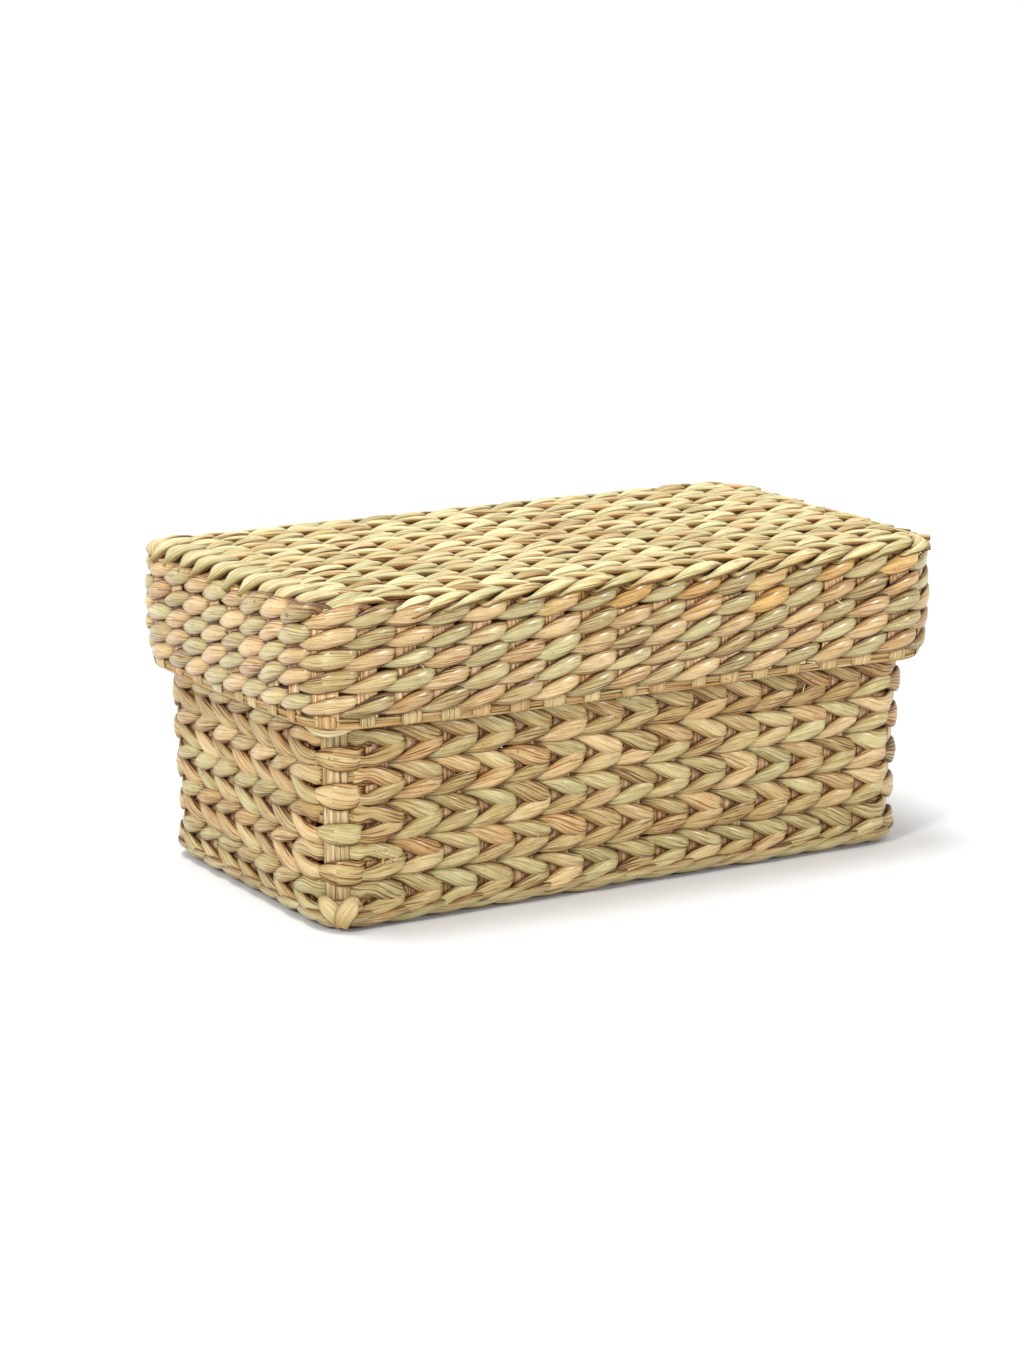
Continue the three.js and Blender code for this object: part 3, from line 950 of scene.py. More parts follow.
@dataclass(frozen=True)
class Stakes:
    """Flat splints that stand in a wall.

    Attributes:
        line: line of the wall.
        half_wide: half the width of a splint.
        half_thick: half its thickness.
        pleats: fibres that show as folds across it.
        pleat_depth: of the folds.
        stations: sections along it.
        columns: points round a section.
        sharp: power of the section's bulge; the smaller, the squarer its edges.
        head_bend: ways up a splint between which its upper end bends in.
        foot_bend: ways up it between which its lower end does, the further first.
        wide_spread: spread of the widths, as a share.
        wave: share by which a width waves along the splint.
        wave_turn: radians that the wave goes through on the way up.
        tone_spread: spread of the colours.
        shade_spread: spread of the brightness, as a share.
        painted_bend_shade: share of the brightness lost at the end that bends in, painted shade where it
            turns in under the weave.
        painted_fold_shade: share of the brightness lost in the folds, painted shade in their grooves.
        painted_edge_shade: share of the brightness lost at the two edges, painted shade.
        edge_power: power of the sine round the section that darkens them.
    """

    line: WallLine
    half_wide: float = 0.004
    half_thick: float = 0.0004
    pleats: int = 5
    pleat_depth: float = 0.00016
    stations: int = 10
    columns: int = 26
    sharp: float = 0.3
    head_bend: tuple[float, float] = (0.95, 1.0)
    foot_bend: tuple[float, float] = (0.04, 0.0)
    wide_spread: float = 0.05
    wave: float = 0.03
    wave_turn: float = 7.0
    tone_spread: float = 0.1
    shade_spread: float = 0.07
    painted_bend_shade: float = 0.45
    painted_fold_shade: float = 0.35
    painted_edge_shade: float = 0.3
    edge_power: int = 8

    def stand(
        self,
        pile: MeshPile,
        places: Array,
        levels: tuple[float, float],
        bend: float,
        seed: int,
        tone: float = 0.6,
    ) -> None:
        """Adds a splint at each place.

        Args:
            pile: where they go.
            places: where they stand, in stakes.
            levels: their lower and upper end.
            bend: how far the upper end bends in over the wall, or the lower where it is negative. A splint
            that doesn't bend has painted shade at its lower end all the same.
            seed: of their small irregularities.
            tone: their colour.
        """
        rng = np.random.default_rng(seed)
        low, high = levels
        way = (1 - np.cos(np.linspace(0.0, math.pi, self.stations))) / 2
        level = low + (high - low) * way
        turn = smooth(*(self.head_bend if bend > 0 else self.foot_bend), way)
        angle = np.linspace(0.0, 2 * math.pi, self.columns, endpoint=False)
        for place in places:
            wide = self.half_wide * (1 + self.wide_spread * rng.normal())
            phase = rng.random() * 2 * math.pi
            point, normal, tangent = self.line.locate(np.full(self.stations, float(place)), level)
            point = point - normal * (abs(bend) * turn**2)[:, None]
            point[:, 2] = np.minimum(point[:, 2], high)
            pleat = self.pleat_depth * np.cos(3 * self.pleats * np.sin(angle) + phase)
            bulge = np.sign(np.cos(angle)) * np.abs(np.cos(angle)) ** self.sharp
            thick = (self.half_thick + pleat) * bulge
            waved = 1 + self.wave * np.sin(self.wave_turn * way + phase)
            across = wide * np.sin(angle) * waved[:, None]
            grid = point[:, None, :] + tangent[:, None, :] * across[..., None]
            grid = grid + normal[:, None, :] * thick[None, :, None]
            run = np.append(way, 1.0) * (high - low) * FIBRE_SCALE
            girth = np.linspace(0.0, 4 * wide, self.columns + 1) * FIBRE_SCALE
            # painted shade in the folds, at the two edges and at the end that bends in
            fold = np.clip(-pleat / self.pleat_depth, 0.0, 1.0)
            groove = 1 - self.painted_fold_shade * fold - self.painted_edge_shade * np.abs(np.sin(angle)) ** self.edge_power
            color = np.clip(tone + self.tone_spread * rng.normal(), 0.0, 1.0)
            shade = 1 + self.shade_spread * rng.normal() - self.painted_bend_shade * turn
            pile.add_tube(
                grid,
                run,
                girth + seed + 1.7 * place,
                np.full(self.stations, color),
                shade[:, None] * groove,
                closed=False,
            )


@dataclass(frozen=True)
class Mat:
    """A flat twined mat: rows along the length over stakes that run across.

    Attributes:
        line: line of the wall that the mat closes.
        level: height of its stakes.
        face: 1 where it is seen from above, -1 where it is seen from below.
        inset: from the wall's line to the outermost row's edge.
        rows: rows across the width.
        strand: sizes of the strands.
        reach: places by which the rows go past the outermost stakes, on the left and on the right.
        tones: tones of the strands run from the first of these to the second.
        tuck: how far the rows' ends dive.
        end_spread: spread of the rows' left ends, in stakes.
        deep: painted shade behind the stakes, as a share of the brightness.
        uneven: factor on the rows' irregularities.
        stake_half_wide: half the width of a stake.
        stake_half_thick: half its thickness.
        painted_stake_shade: its brightness, painted shade where it lies under the rows.
    """

    line: WallLine
    level: float
    face: int
    inset: float
    rows: int
    strand: Strand
    reach: tuple[float, float]
    tones: tuple[float, float] = (0.15, 0.75)
    tuck: float = 0.0016
    end_spread: float = 0.1
    deep: float = 0.45
    uneven: float = 1.35
    stake_half_wide: float = 0.004
    stake_half_thick: float = 0.0005
    painted_stake_shade: float = 0.55

    def weave(self, rows: MeshPile, stakes: MeshPile, seed: int) -> None:
        """Adds the rows to one pile and the stakes to another.

        On a rounded corner a row is cut short by the radius less the root of the radius squared less the way
        past the corner's middle squared.

        Args:
            rows: where the strands go.
            stakes: where the splints go.
            seed: of the irregularities.
        """
        rng = np.random.default_rng(seed)
        point, _, _ = self.line.locate(np.array([1.0, 2.0]), np.full(2, self.level))
        first, pitch = point[0, 0], point[1, 0] - point[0, 0]
        count = self.line.counts[0] - 1
        half = self.line.half_width - self.inset - self.line.draw * (self.face < 0)
        wide = 2 * half / self.rows
        lightest, darkest = self.tones
        left, right = self.reach
        for row in range(self.rows):
            pair = lightest + (darkest - lightest) * rng.random(2)
            across = -half + (row + 0.5) * wide
            past = max(0.0, abs(across) - self.line.half_width + self.line.radius)
            cut = (self.line.radius - math.sqrt(self.line.radius**2 - past**2)) / pitch
            TwinedRow(
                course=MatCourse(first, pitch, across, self.level, self.face),
                lean=Lean.RISING if row % 2 else Lean.FALLING,
                strand=self.strand,
                tones=(float(pair[0]), float(pair[1])),
                seed=seed + row,
                span=(1 - left + cut + self.end_spread * rng.normal(), count + right - cut),
                tuck=self.tuck,
                deep=self.deep,
                uneven=self.uneven,
            ).weave(rows)
        for k in range(count):
            x = first + k * pitch
            Leaf(
                spine=np.array([[x, y, self.level] for y in (-half, 0.0, half)]),
                face=UP * self.face,
                half_wide=(self.stake_half_wide,) * 3,
                half_thick=self.stake_half_thick,
                tone=0.6,
                # painted shade: the stakes lie under the rows
                shade=(self.painted_stake_shade,) * 3,
                pleats=3,
                columns=16,
            ).lay(stakes, seed + 3.1 * k)


@dataclass(frozen=True)
class Rim:
    """A rim: three strands one over the other, with the folded end of every stake over them.

    Attributes:
        line: line of the wall.
        low: lower edge.
        high: upper edge.
        out: how far the strands' middle stands out from the stakes' line.
        tab_out: how far the tabs' middle stands out.
        tab_half_wide: half a tab's width.
        shares: heights of the strands, as shares of the rim's.
        steps: sections of a strand for each stake.
        columns: points round its section.
        half_wide: half its width, as a share of the rim's height.
        half_thick: half its thickness.
        recess: how much further in the middle strand lies.
        sway: how far a strand sways up and down.
        sway_out: how far it sways out and in.
        painted_edge_shade: share of its brightness lost at its two edges, painted shade where the strands
            meet.
        edge_power: power of the sine round the section that darkens them.
        tab_shift: spread of the tabs' places, in stakes.
        tab_spread: spread of their widths, as a share.
        tab_tone: their colour.
        tab_tone_spread: spread of their colour.
        most_tone: tone of the most amber tab.
    """

    line: WallLine
    low: float
    high: float
    out: float
    tab_out: float
    tab_half_wide: float = 0.0034
    shares: tuple[float, float, float] = (0.2, 0.52, 0.84)
    steps: int = 6
    columns: int = 10
    half_wide: float = 0.21
    half_thick: float = 0.0006
    recess: float = 0.0002
    sway: float = 0.00016
    sway_out: float = 0.00015
    painted_edge_shade: float = 0.6
    edge_power: int = 4
    tab_shift: float = 0.07
    tab_spread: float = 0.14
    tab_tone: float = 0.48
    tab_tone_spread: float = 0.2
    most_tone: float = 0.8

    def lay(self, strands: MeshPile, seed: int) -> None:
        """Adds the strands and the tabs.

        Args:
            strands: where they go.
            seed: of the irregularities.
        """
        rng = np.random.default_rng(seed)
        self._lay_strands(strands, seed, rng)
        self._lay_tabs(strands, seed, rng)

    def _lay_strands(self, strands: MeshPile, seed: int, rng: np.random.Generator) -> None:
        """Adds the strands. Their places, widths and colours sway in whole waves round the rim.

        Args:
            strands: where they go.
            seed: start of their fibre marks.
            rng: source of the irregularities.
        """
        total = self.line.total
        height = self.high - self.low
        place = np.arange(total * self.steps) / self.steps
        angle = np.linspace(0.0, 2 * math.pi, self.columns, endpoint=False)

        def sine(waves: int, start: float) -> Array:
            """Sine with a number of waves round the rim."""
            return np.sin(2 * math.pi * place * waves / total + start)

        for row, share in enumerate(self.shares):
            sway = self.sway * sine(9 + 5 * row, rng.random() * 6)
            point, normal, _ = self.line.locate(place, self.low + height * share + sway)
            out = self.out - self.recess * (row == 1) + self.sway_out * sine(17, row)
            wide = self.half_wide * height * (1 + 0.25 * sine(7 + row, 2 * row))
            section_out = out[:, None] + self.half_thick * np.cos(angle)
            grid = point[:, None, :] + normal[:, None, :] * section_out[..., None]
            grid = grid + UP * (wide[:, None] * np.sin(angle))[..., None]
            step = np.linalg.norm(change(point, True), axis=1)
            run = np.append(np.cumsum(step), np.sum(step) + step[0]) * FIBRE_SCALE
            girth = np.linspace(0, 0.4, self.columns + 1)
            tone = 0.55 + 0.25 * sine(6, 2.3 * row)
            shade = (0.85 + 0.12 * sine(19, row))[:, None]
            # painted shade at the two edges of each strand
            shade = shade * (1 - self.painted_edge_shade * np.abs(np.sin(angle)) ** self.edge_power)
            strands.add_tube(grid, run, girth + seed + row, tone, shade, closed=True)

    def _lay_tabs(self, strands: MeshPile, seed: int, rng: np.random.Generator) -> None:
        """Adds the tabs, which go over the upper edge, down in front of the strands and in under them.

        Args:
            strands: where they go.
            seed: start of their fibre marks.
            rng: source of the irregularities.
        """
        middle = self.low + 0.5 * (self.high - self.low)
        levels = np.array([self.high + 0.0012, self.high + 0.0004, middle, self.low, self.low])
        outs = np.array([-0.0010, 0.0, 0.0001, -0.0003, self.out - self.tab_out - 0.0016])
        for stake in range(self.line.total):
            place = np.full(5, stake + self.tab_shift * rng.normal())
            point, normal, _ = self.line.locate(place, levels)
            spine = point + normal * (self.tab_out + outs)[:, None]
            spine[3:, 2] += np.array([0.0003, 0.00045])
            wide = self.tab_half_wide * (1 + self.tab_spread * rng.normal())
            tone = np.clip(self.tab_tone + self.tab_tone_spread * rng.normal(), 0.0, self.most_tone)
            Leaf(
                spine=spine,
                face=normal + UP * np.array([0.6, 0.1, 0.0, -0.8, -1.5])[:, None],
                half_wide=(0.85 * wide, wide, wide, 0.95 * wide, 0.9 * wide),
                half_thick=0.0003,
                tone=float(tone),
                # painted shade at the tab's two ends, where it goes over the edge and in under the strands
                shade=(0.75, 0.96 + 0.08 * rng.normal(), 0.7),
                pleats=3,
                columns=20,
            ).lay(strands, seed + 1.3 * stake)


@dataclass(frozen=True)
class Frays:
    """Thin broken fibres that stand off a wall.

    Attributes:
        line: line of the wall.
        out: where they start, from the stakes' line.
        length: greatest length.
        shortest: least length, as a share of the greatest.
        half_wide: half their width.
        half_thick: half their thickness.
        tone: their colour.
        strew: spread of their starts along and up the wall.
        spread: of their ways along and up the wall.
        off: least way out of the wall, and how much more it may be.
        droop: how far their ends droop, as a share of their length.
    """

    line: WallLine
    out: float = 0.0021
    length: float = 0.005
    shortest: float = 0.4
    half_wide: float = 0.00022
    half_thick: float = 0.00012
    tone: float = 0.15
    strew: tuple[float, float] = (0.001, 0.0006)
    spread: float = 0.6
    off: tuple[float, float] = (0.25, 0.2)
    droop: float = 0.25

    def scatter(self, pile: MeshPile, spots: tuple[tuple[float, float], ...], each: int, seed: int) -> None:
        """Adds a few fibres at each spot.

        Args:
            pile: where they go.
            spots: place and level of each.
            each: fibres at one spot.
            seed: of their directions.
        """
        rng = np.random.default_rng(seed)
        (aside, above), (least, more) = self.strew, self.off
        for place, level in spots:
            point, normal, tangent = (v[0] for v in self.line.locate(np.array([place]), np.array([level])))
            for _ in range(each):
                along, rise = rng.normal(0.0, self.spread, 2)
                reach = self.length * (self.shortest + (1 - self.shortest) * rng.random())
                start = point + normal * self.out
                start = start + tangent * aside * rng.normal() + UP * above * rng.normal()
                way = unit(tangent * along + UP * rise + normal * (least + more * rng.random()))
                droop = self.droop * reach * (normal * rng.normal(0.0, 0.5) - UP * rng.random())
                Leaf(
                    spine=np.array([start, start + way * reach * 0.5, start + way * reach + droop]),
                    face=normal,
                    half_wide=(self.half_wide, self.half_wide, 0.3 * self.half_wide),
                    half_thick=self.half_thick,
                    tone=self.tone,
                    shade=(1.0, 1.25, 1.35),
                    stations=7,
                    columns=5,
                ).lay(pile, seed + 0.9 * rng.random())


@dataclass(frozen=True)
class Camera:
    """The camera of the photograph, as worked out from the box's outline and rows.

    Attributes:
        azimuth: degrees from straight in front, negative to the left.
        elevation: degrees above the horizon.
        distance: from the point that it looks at.
        target: that point.
        focal_pixels: focal length in pixels of the photograph.
        long_side_pixels: of the photograph.
        roll: degrees by which the picture is turned.
    """

    azimuth: float = -30.548
    elevation: float = 13.205
    distance: float = 1.31914
    target: tuple[float, float, float] = (-0.011278, 0.0, 0.06175)
    focal_pixels: float = 3702.8
    long_side_pixels: float = 1365.0
    roll: float = 0.088

    def place(self) -> None:
        """Makes the camera and sets it as the scene's."""
        azimuth, elevation, roll = (math.radians(x) for x in (self.azimuth, self.elevation, self.roll))
        flat = math.cos(elevation)
        back = Vector((math.sin(azimuth) * flat, -math.cos(azimuth) * flat, math.sin(elevation)))
        right = (-back).cross(Vector((0.0, 0.0, 1.0))).normalized()
        up = right.cross(-back)
        right, up = (
            right * math.cos(roll) + up * math.sin(roll),
            up * math.cos(roll) - right * math.sin(roll),
        )
        data = bpy.data.cameras.new("camera")
        data.sensor_width = 36.0
        data.lens = data.sensor_width * self.focal_pixels / self.long_side_pixels
        data.clip_start, data.clip_end = 0.05, 50.0
        camera = bpy.data.objects.new("camera", data)
        bpy.context.scene.collection.objects.link(camera)
        turn = Matrix((right, up, back)).transposed().to_4x4()
        camera.matrix_world = Matrix.Translation(Vector(self.target) + back * self.distance) @ turn
        bpy.context.scene.camera = camera


LAMPS_AIM = (0.0, 0.0, 0.05)  # point of the box that the lamps face


@dataclass(frozen=True)
class Lamp:
    """A square lamp that faces the box.

    Attributes:
        name: the lamp's name.
        place: where it hangs.
        power: in watts.
        size: of its side.
        color: of its light.
    """

    name: str
    place: tuple[float, float, float]
    power: float
    size: float
    color: tuple[float, float, float]

    def hang(self) -> None:
        """Adds the lamp to the scene."""
        data = bpy.data.lights.new(self.name, "AREA")
        data.energy, data.size, data.color = self.power, self.size, self.color
        lamp = bpy.data.objects.new(self.name, data)
        lamp.location = self.place
        way = Vector(LAMPS_AIM) - Vector(self.place)
        lamp.rotation_euler = way.to_track_quat("-Z", "Y").to_euler()
        bpy.context.scene.collection.objects.link(lamp)


@dataclass(frozen=True)
class Studio:
    """Pale floor and soft white light.

    Attributes:
        floor_half: half the floor's side.
        floor_color: its colour.
        surround: brightness of the white room.
        sun_power: of the high light behind the box, in watts for a square metre.
        sun_way: the way towards it.
        sun_spread: its width in degrees.
        lamps: the other lamps.
    """

    floor_half: float = 8.0
    floor_color: tuple[float, float, float] = (0.62, 0.62, 0.624)
    surround: float = 0.95
    sun_power: float = 2.5
    sun_way: tuple[float, float, float] = (-0.16, 0.13, 1.0)
    sun_spread: float = 22.0
    lamps: tuple[Lamp, ...] = (
        Lamp("key", (-1.9, -0.9, 1.3), 37.0, 0.4, (1.0, 0.98, 0.95)),
        Lamp("glint", (1.15, -1.75, 0.64), 17.0, 0.12, (1.0, 1.0, 1.0)),
    )

    def build(self) -> None:
        """Makes the floor, the white surroundings and the lamps."""
        half = self.floor_half
        mesh = bpy.data.meshes.new("floor")
        corners = [(-half, -half, 0), (half, -half, 0), (half, half, 0), (-half, half, 0)]
        mesh.from_pydata(corners, [], [(0, 1, 2, 3)])
        floor = bpy.data.objects.new("floor", mesh)
        bpy.context.scene.collection.objects.link(floor)
        paint = bpy.data.materials.new("floor_paint")
        paint.use_nodes = True
        shader = paint.node_tree.nodes["Principled BSDF"]
        shader.inputs["Base Color"].default_value = (*self.floor_color, 1.0)
        shader.inputs["Roughness"].default_value = 0.9
        mesh.materials.append(paint)

        world = bpy.data.worlds.new("white_room")
        world.use_nodes = True
        background = world.node_tree.nodes["Background"]
        background.inputs["Color"].default_value = (1.0, 1.0, 1.0, 1.0)
        background.inputs["Strength"].default_value = self.surround
        bpy.context.scene.world = world
        sun = bpy.data.lights.new("sun", "SUN")
        sun.energy, sun.angle = self.sun_power, math.radians(self.sun_spread)
        high = bpy.data.objects.new("sun", sun)
        high.rotation_euler = Vector(self.sun_way).to_track_quat("Z", "Y").to_euler()
        bpy.context.scene.collection.objects.link(high)
        for lamp in self.lamps:
            lamp.hang()
        bpy.context.scene.view_settings.view_transform = "Standard"


class NodeSheet:
    """Short ways to add nodes to a tree and join them."""

    def __init__(self, tree: bpy.types.NodeTree) -> None:
        """Keeps the tree that nodes are added to."""
        self.tree = tree

    def add(self, kind: str, **settings: object) -> bpy.types.Node:
        """Adds a node of a kind and sets its properties.

        Args:
            kind: the node's type.
            settings: its properties by name.

        Returns:
            The node.
        """
        node = self.tree.nodes.new(kind)
        for key, value in settings.items():
            setattr(node, key, value)
        return node

    def join(self, source: bpy.types.NodeSocket, target: bpy.types.NodeSocket) -> None:
        """Joins an output to an input."""
        self.tree.links.new(source, target)

    def math(self, operation: str, first: object, second: object = None) -> bpy.types.NodeSocket:
        """Adds a Math node.

        Args:
            operation: its operation.
            first: a socket or a number.
            second: a socket or a number, where the operation takes two.

        Returns:
            The result's socket.
        """
        node = self.add("ShaderNodeMath", operation=operation)
        for i, value in enumerate((first, second)):
            if isinstance(value, bpy.types.NodeSocket):
                self.join(value, node.inputs[i])
            elif value is not None:
                node.inputs[i].default_value = value
        return node.outputs[0]

    def noise(
        self, vector: bpy.types.NodeSocket, scale: tuple[float, float, float], detail: float
    ) -> bpy.types.NodeSocket:
        """Noise whose vector is stretched first.

        Args:
            vector: the coordinates.
            scale: factor on each of them.
            detail: of the noise.

        Returns:
            The noise's socket, about 0.5 on average.
        """
        stretch = self.add("ShaderNodeVectorMath", operation="MULTIPLY")
        self.join(vector, stretch.inputs[0])
        stretch.inputs[1].default_value = scale
        noise = self.add("ShaderNodeTexNoise")
        noise.inputs["Scale"].default_value = 1.0
        noise.inputs["Detail"].default_value = detail
        noise.inputs["Roughness"].default_value = 0.6
        self.join(stretch.outputs[0], noise.inputs["Vector"])
        return noise.outputs["Fac"]

    def ramp(
        self, value: bpy.types.NodeSocket, low: float, high: float, to_low: float, to_high: float
    ) -> bpy.types.NodeSocket:
        """Maps a range of a value to another range, and clamps it.

        Args:
            value: the value's socket.
            low: start of its range.
            high: end of its range.
            to_low: what the start becomes.
            to_high: what the end becomes.

        Returns:
            The result's socket.
        """
        node = self.add("ShaderNodeMapRange")
        self.join(value, node.inputs["Value"])
        for key, number in (("From Min", low), ("From Max", high), ("To Min", to_low), ("To Max", to_high)):
            node.inputs[key].default_value = number
        return node.outputs["Result"]


FINE_STREAKS = (0.8, 34.0, 1.0)  # marks in a centimetre along and across the fibres, as for the next two
BROAD_STREAKS = (0.4, 9.0, 1.0)
SPLITS = (0.3, 24.0, 1.0)
BLOTCHES = (140.0, 140.0, 140.0)  # marks in a metre along each axis, as for the specks
SPECKS = (900.0, 900.0, 900.0)
# painted shade: each channel of a brightness under 1 is raised to its power, so that the painted shade turns
# red-brown
WARMTH = (("Red", 0.72), ("Green", 1.28), ("Blue", 2.1))  # power of the shade in each channel


def fibre_group() -> bpy.types.NodeTree:
    """Node group of lengthwise rush fibres: fine streaks, dark splits, blotches and a few specks.

    Brightness is 1 plus the streaks, times the blotches, times the specks, times 1 less the splits. Height is
    a share of the streaks less the splits.

    Returns:
        The group, with the inputs Marks, Place, Streaks, Splits and Crease and the outputs Brightness and
        Height.
    """
    name = "rush_fibres"
    if name in bpy.data.node_groups:
        return bpy.data.node_groups[name]
    tree = bpy.data.node_groups.new(name, "ShaderNodeTree")
    face = tree.interface
    face.new_socket("Marks", in_out="INPUT", socket_type="NodeSocketVector")
    face.new_socket("Place", in_out="INPUT", socket_type="NodeSocketVector")
    for label, value in (("Streaks", 0.16), ("Splits", 0.5), ("Crease", 1.0)):
        face.new_socket(label, in_out="INPUT", socket_type="NodeSocketFloat").default_value = value
    face.new_socket("Brightness", in_out="OUTPUT", socket_type="NodeSocketFloat")
    face.new_socket("Height", in_out="OUTPUT", socket_type="NodeSocketFloat")
    sheet = NodeSheet(tree)
    given = sheet.add("NodeGroupInput")
    result = sheet.add("NodeGroupOutput")
    marks, place = given.outputs["Marks"], given.outputs["Place"]
    fine = sheet.noise(marks, FINE_STREAKS, 2.0)
    broad = sheet.noise(marks, BROAD_STREAKS, 1.0)
    split = sheet.noise(marks, SPLITS, 1.0)
    blotch = sheet.noise(place, BLOTCHES, 3.0)
    speck = sheet.noise(place, SPECKS, 0.0)
    crack = sheet.ramp(split, 0.37, 0.45, 1.0, 0.0)
    deep = sheet.math("MULTIPLY", crack, given.outputs["Splits"])
    deep = sheet.math("MULTIPLY", deep, given.outputs["Crease"])
    fine, broad = sheet.ramp(fine, 0.3, 0.7, -1.0, 1.0), sheet.ramp(broad, 0.3, 0.7, -0.9, 0.9)
    streak = sheet.math("ADD", fine, broad)
    bright = sheet.math("ADD", sheet.math("MULTIPLY", streak, given.outputs["Streaks"]), 1.0)
    bright = sheet.math("MULTIPLY", bright, sheet.ramp(blotch, 0.3, 0.7, 0.9, 1.08))
    bright = sheet.math("MULTIPLY", bright, sheet.ramp(speck, 0.16, 0.22, 0.6, 1.0))
    bright = sheet.math("MULTIPLY", bright, sheet.math("SUBTRACT", 1.0, deep))
    height = sheet.math("SUBTRACT", sheet.math("MULTIPLY", streak, 0.3), deep)
    sheet.join(bright, result.inputs["Brightness"])
    sheet.join(height, result.inputs["Height"])
    return tree


@dataclass(frozen=True)
class RushFinish:
    """Dried rush, with its colour from the tone of each strand.

    Attributes:
        name: the finish's name.
        colors: colour of tones from 0 to 1, evenly spaced.
        streaks: how much the fine fibres differ in brightness.
        splits: how dark the splits between fibres are.
        middle: how much of the splits shows in the middle of a stitch.
        roughness: of the surface.
        relief: height of the fibres.
        sheen: weight of the smooth outer skin.
        specular: reflection under that skin.
        coat_roughness: of the skin.
        crease_shades: brightness up to which all of the splits show, and from which only the middle's do.
    """

    name: str
    colors: tuple[tuple[float, float, float], ...]
    streaks: float
    splits: float
    middle: float
    roughness: float
    relief: float
    sheen: float = 0.0
    specular: float = 0.28
    coat_roughness: float = 0.25
    crease_shades: tuple[float, float] = (0.65, 1.0)

    def material(self) -> bpy.types.Material:
        """Makes the material.

        Its colour is the tone's colour times the brightness, where each channel of a brightness under 1 is
        raised to its own power, so that the painted shade turns brown.

        Returns:
            The material.
        """
        paint = bpy.data.materials.new(self.name)
        paint.use_nodes = True
        tree = paint.node_tree
        sheet = NodeSheet(tree)
        shader = tree.nodes["Principled BSDF"]
        marks = sheet.add("ShaderNodeUVMap", uv_map="fibres")
        place = sheet.add("ShaderNodeTexCoord")
        fibres = sheet.add("ShaderNodeGroup", node_tree=fibre_group())
        sheet.join(marks.outputs["UV"], fibres.inputs["Marks"])
        sheet.join(place.outputs["Object"], fibres.inputs["Place"])
        fibres.inputs["Streaks"].default_value = self.streaks
        fibres.inputs["Splits"].default_value = self.splits
        tone = sheet.add("ShaderNodeAttribute", attribute_name="tone")
        shade = sheet.add("ShaderNodeAttribute", attribute_name="shade")
        ramp = sheet.add("ShaderNodeValToRGB")
        stops = ramp.color_ramp.elements
        for i, color in enumerate(self.colors):
            stop = stops[i] if i < 2 else stops.new(1.0)
            stop.position = i / (len(self.colors) - 1)
            stop.color = (*color, 1.0)
        sheet.join(tone.outputs["Fac"], ramp.inputs["Fac"])
        crease = sheet.ramp(shade.outputs["Fac"], *self.crease_shades, 1.0, self.middle)
        sheet.join(crease, fibres.inputs["Crease"])
        # brightness of the fibres times the shade attribute, with its painted shade and light
        light = sheet.math("MULTIPLY", fibres.outputs["Brightness"], shade.outputs["Fac"])
        dark, bright = sheet.math("MINIMUM", light, 1.0), sheet.math("MAXIMUM", light, 1.0)
        warm = sheet.add("ShaderNodeCombineColor")
        for channel, power in WARMTH:
            sheet.join(sheet.math("MULTIPLY", sheet.math("POWER", dark, power), bright), warm.inputs[channel])
        mix = sheet.add("ShaderNodeMix", data_type="RGBA", blend_type="MULTIPLY")
        mix.inputs["Factor"].default_value = 1.0
        sheet.join(ramp.outputs["Color"], mix.inputs["A"])
        sheet.join(warm.outputs["Color"], mix.inputs["B"])
        sheet.join(mix.outputs["Result"], shader.inputs["Base Color"])
        bump = sheet.add("ShaderNodeBump")
        bump.inputs["Strength"].default_value = 1.0
        bump.inputs["Distance"].default_value = self.relief
        sheet.join(fibres.outputs["Height"], bump.inputs["Height"])
        sheet.join(bump.outputs["Normal"], shader.inputs["Normal"])
        shader.inputs["Roughness"].default_value = self.roughness
        shader.inputs["Specular IOR Level"].default_value = self.specular
        shader.inputs["Coat Weight"].default_value = self.sheen
        shader.inputs["Coat Roughness"].default_value = self.coat_roughness
        return paint


STRAND_FINISH = RushFinish(
    name="rush_strand_finish",
    colors=(
        (0.43, 0.385, 0.184),
        (0.47, 0.395, 0.184),
        (0.50, 0.395, 0.184),
        (0.58, 0.42, 0.212),
        (0.57, 0.36, 0.105),
    ),
    streaks=0.13,
    splits=0.95,
    middle=0.3,
    roughness=0.36,
    relief=0.0005,
    sheen=0.3,
)
SMOOTH_FINISH = replace(STRAND_FINISH, name="rush_smooth_finish", sheen=0.7)
TOP_FINISH = RushFinish(
    name="rush_top_finish",
    colors=(
        (0.53, 0.52, 0.28),
        (0.58, 0.525, 0.285),
        (0.61, 0.525, 0.28),
        (0.63, 0.485, 0.265),
        (0.61, 0.42, 0.195),
    ),
    streaks=0.14,
    splits=0.95,
    middle=0.4,
    roughness=0.42,
    relief=0.0005,
)
STAKE_FINISH = RushFinish(
    name="rush_stake_finish",
    # the last colour, which the lid's stakes take, is painted light on stakes that lie in shade between the
    # lid's stitches
    colors=((0.52, 0.45, 0.27), (0.58, 0.42, 0.25), (0.62, 0.41, 0.25), (0.78, 0.59, 0.36)),
    streaks=0.2,
    splits=0.6,
    middle=0.8,
    roughness=0.6,
    relief=0.0003,
)
RIM_FINISH = RushFinish(
    name="rush_rim_finish",
    colors=((0.46, 0.44, 0.30), (0.50, 0.42, 0.22), (0.50, 0.35, 0.17), (0.42, 0.25, 0.10)),
    streaks=0.14,
    splits=0.7,
    middle=0.6,
    roughness=0.5,
    relief=0.0003,
)


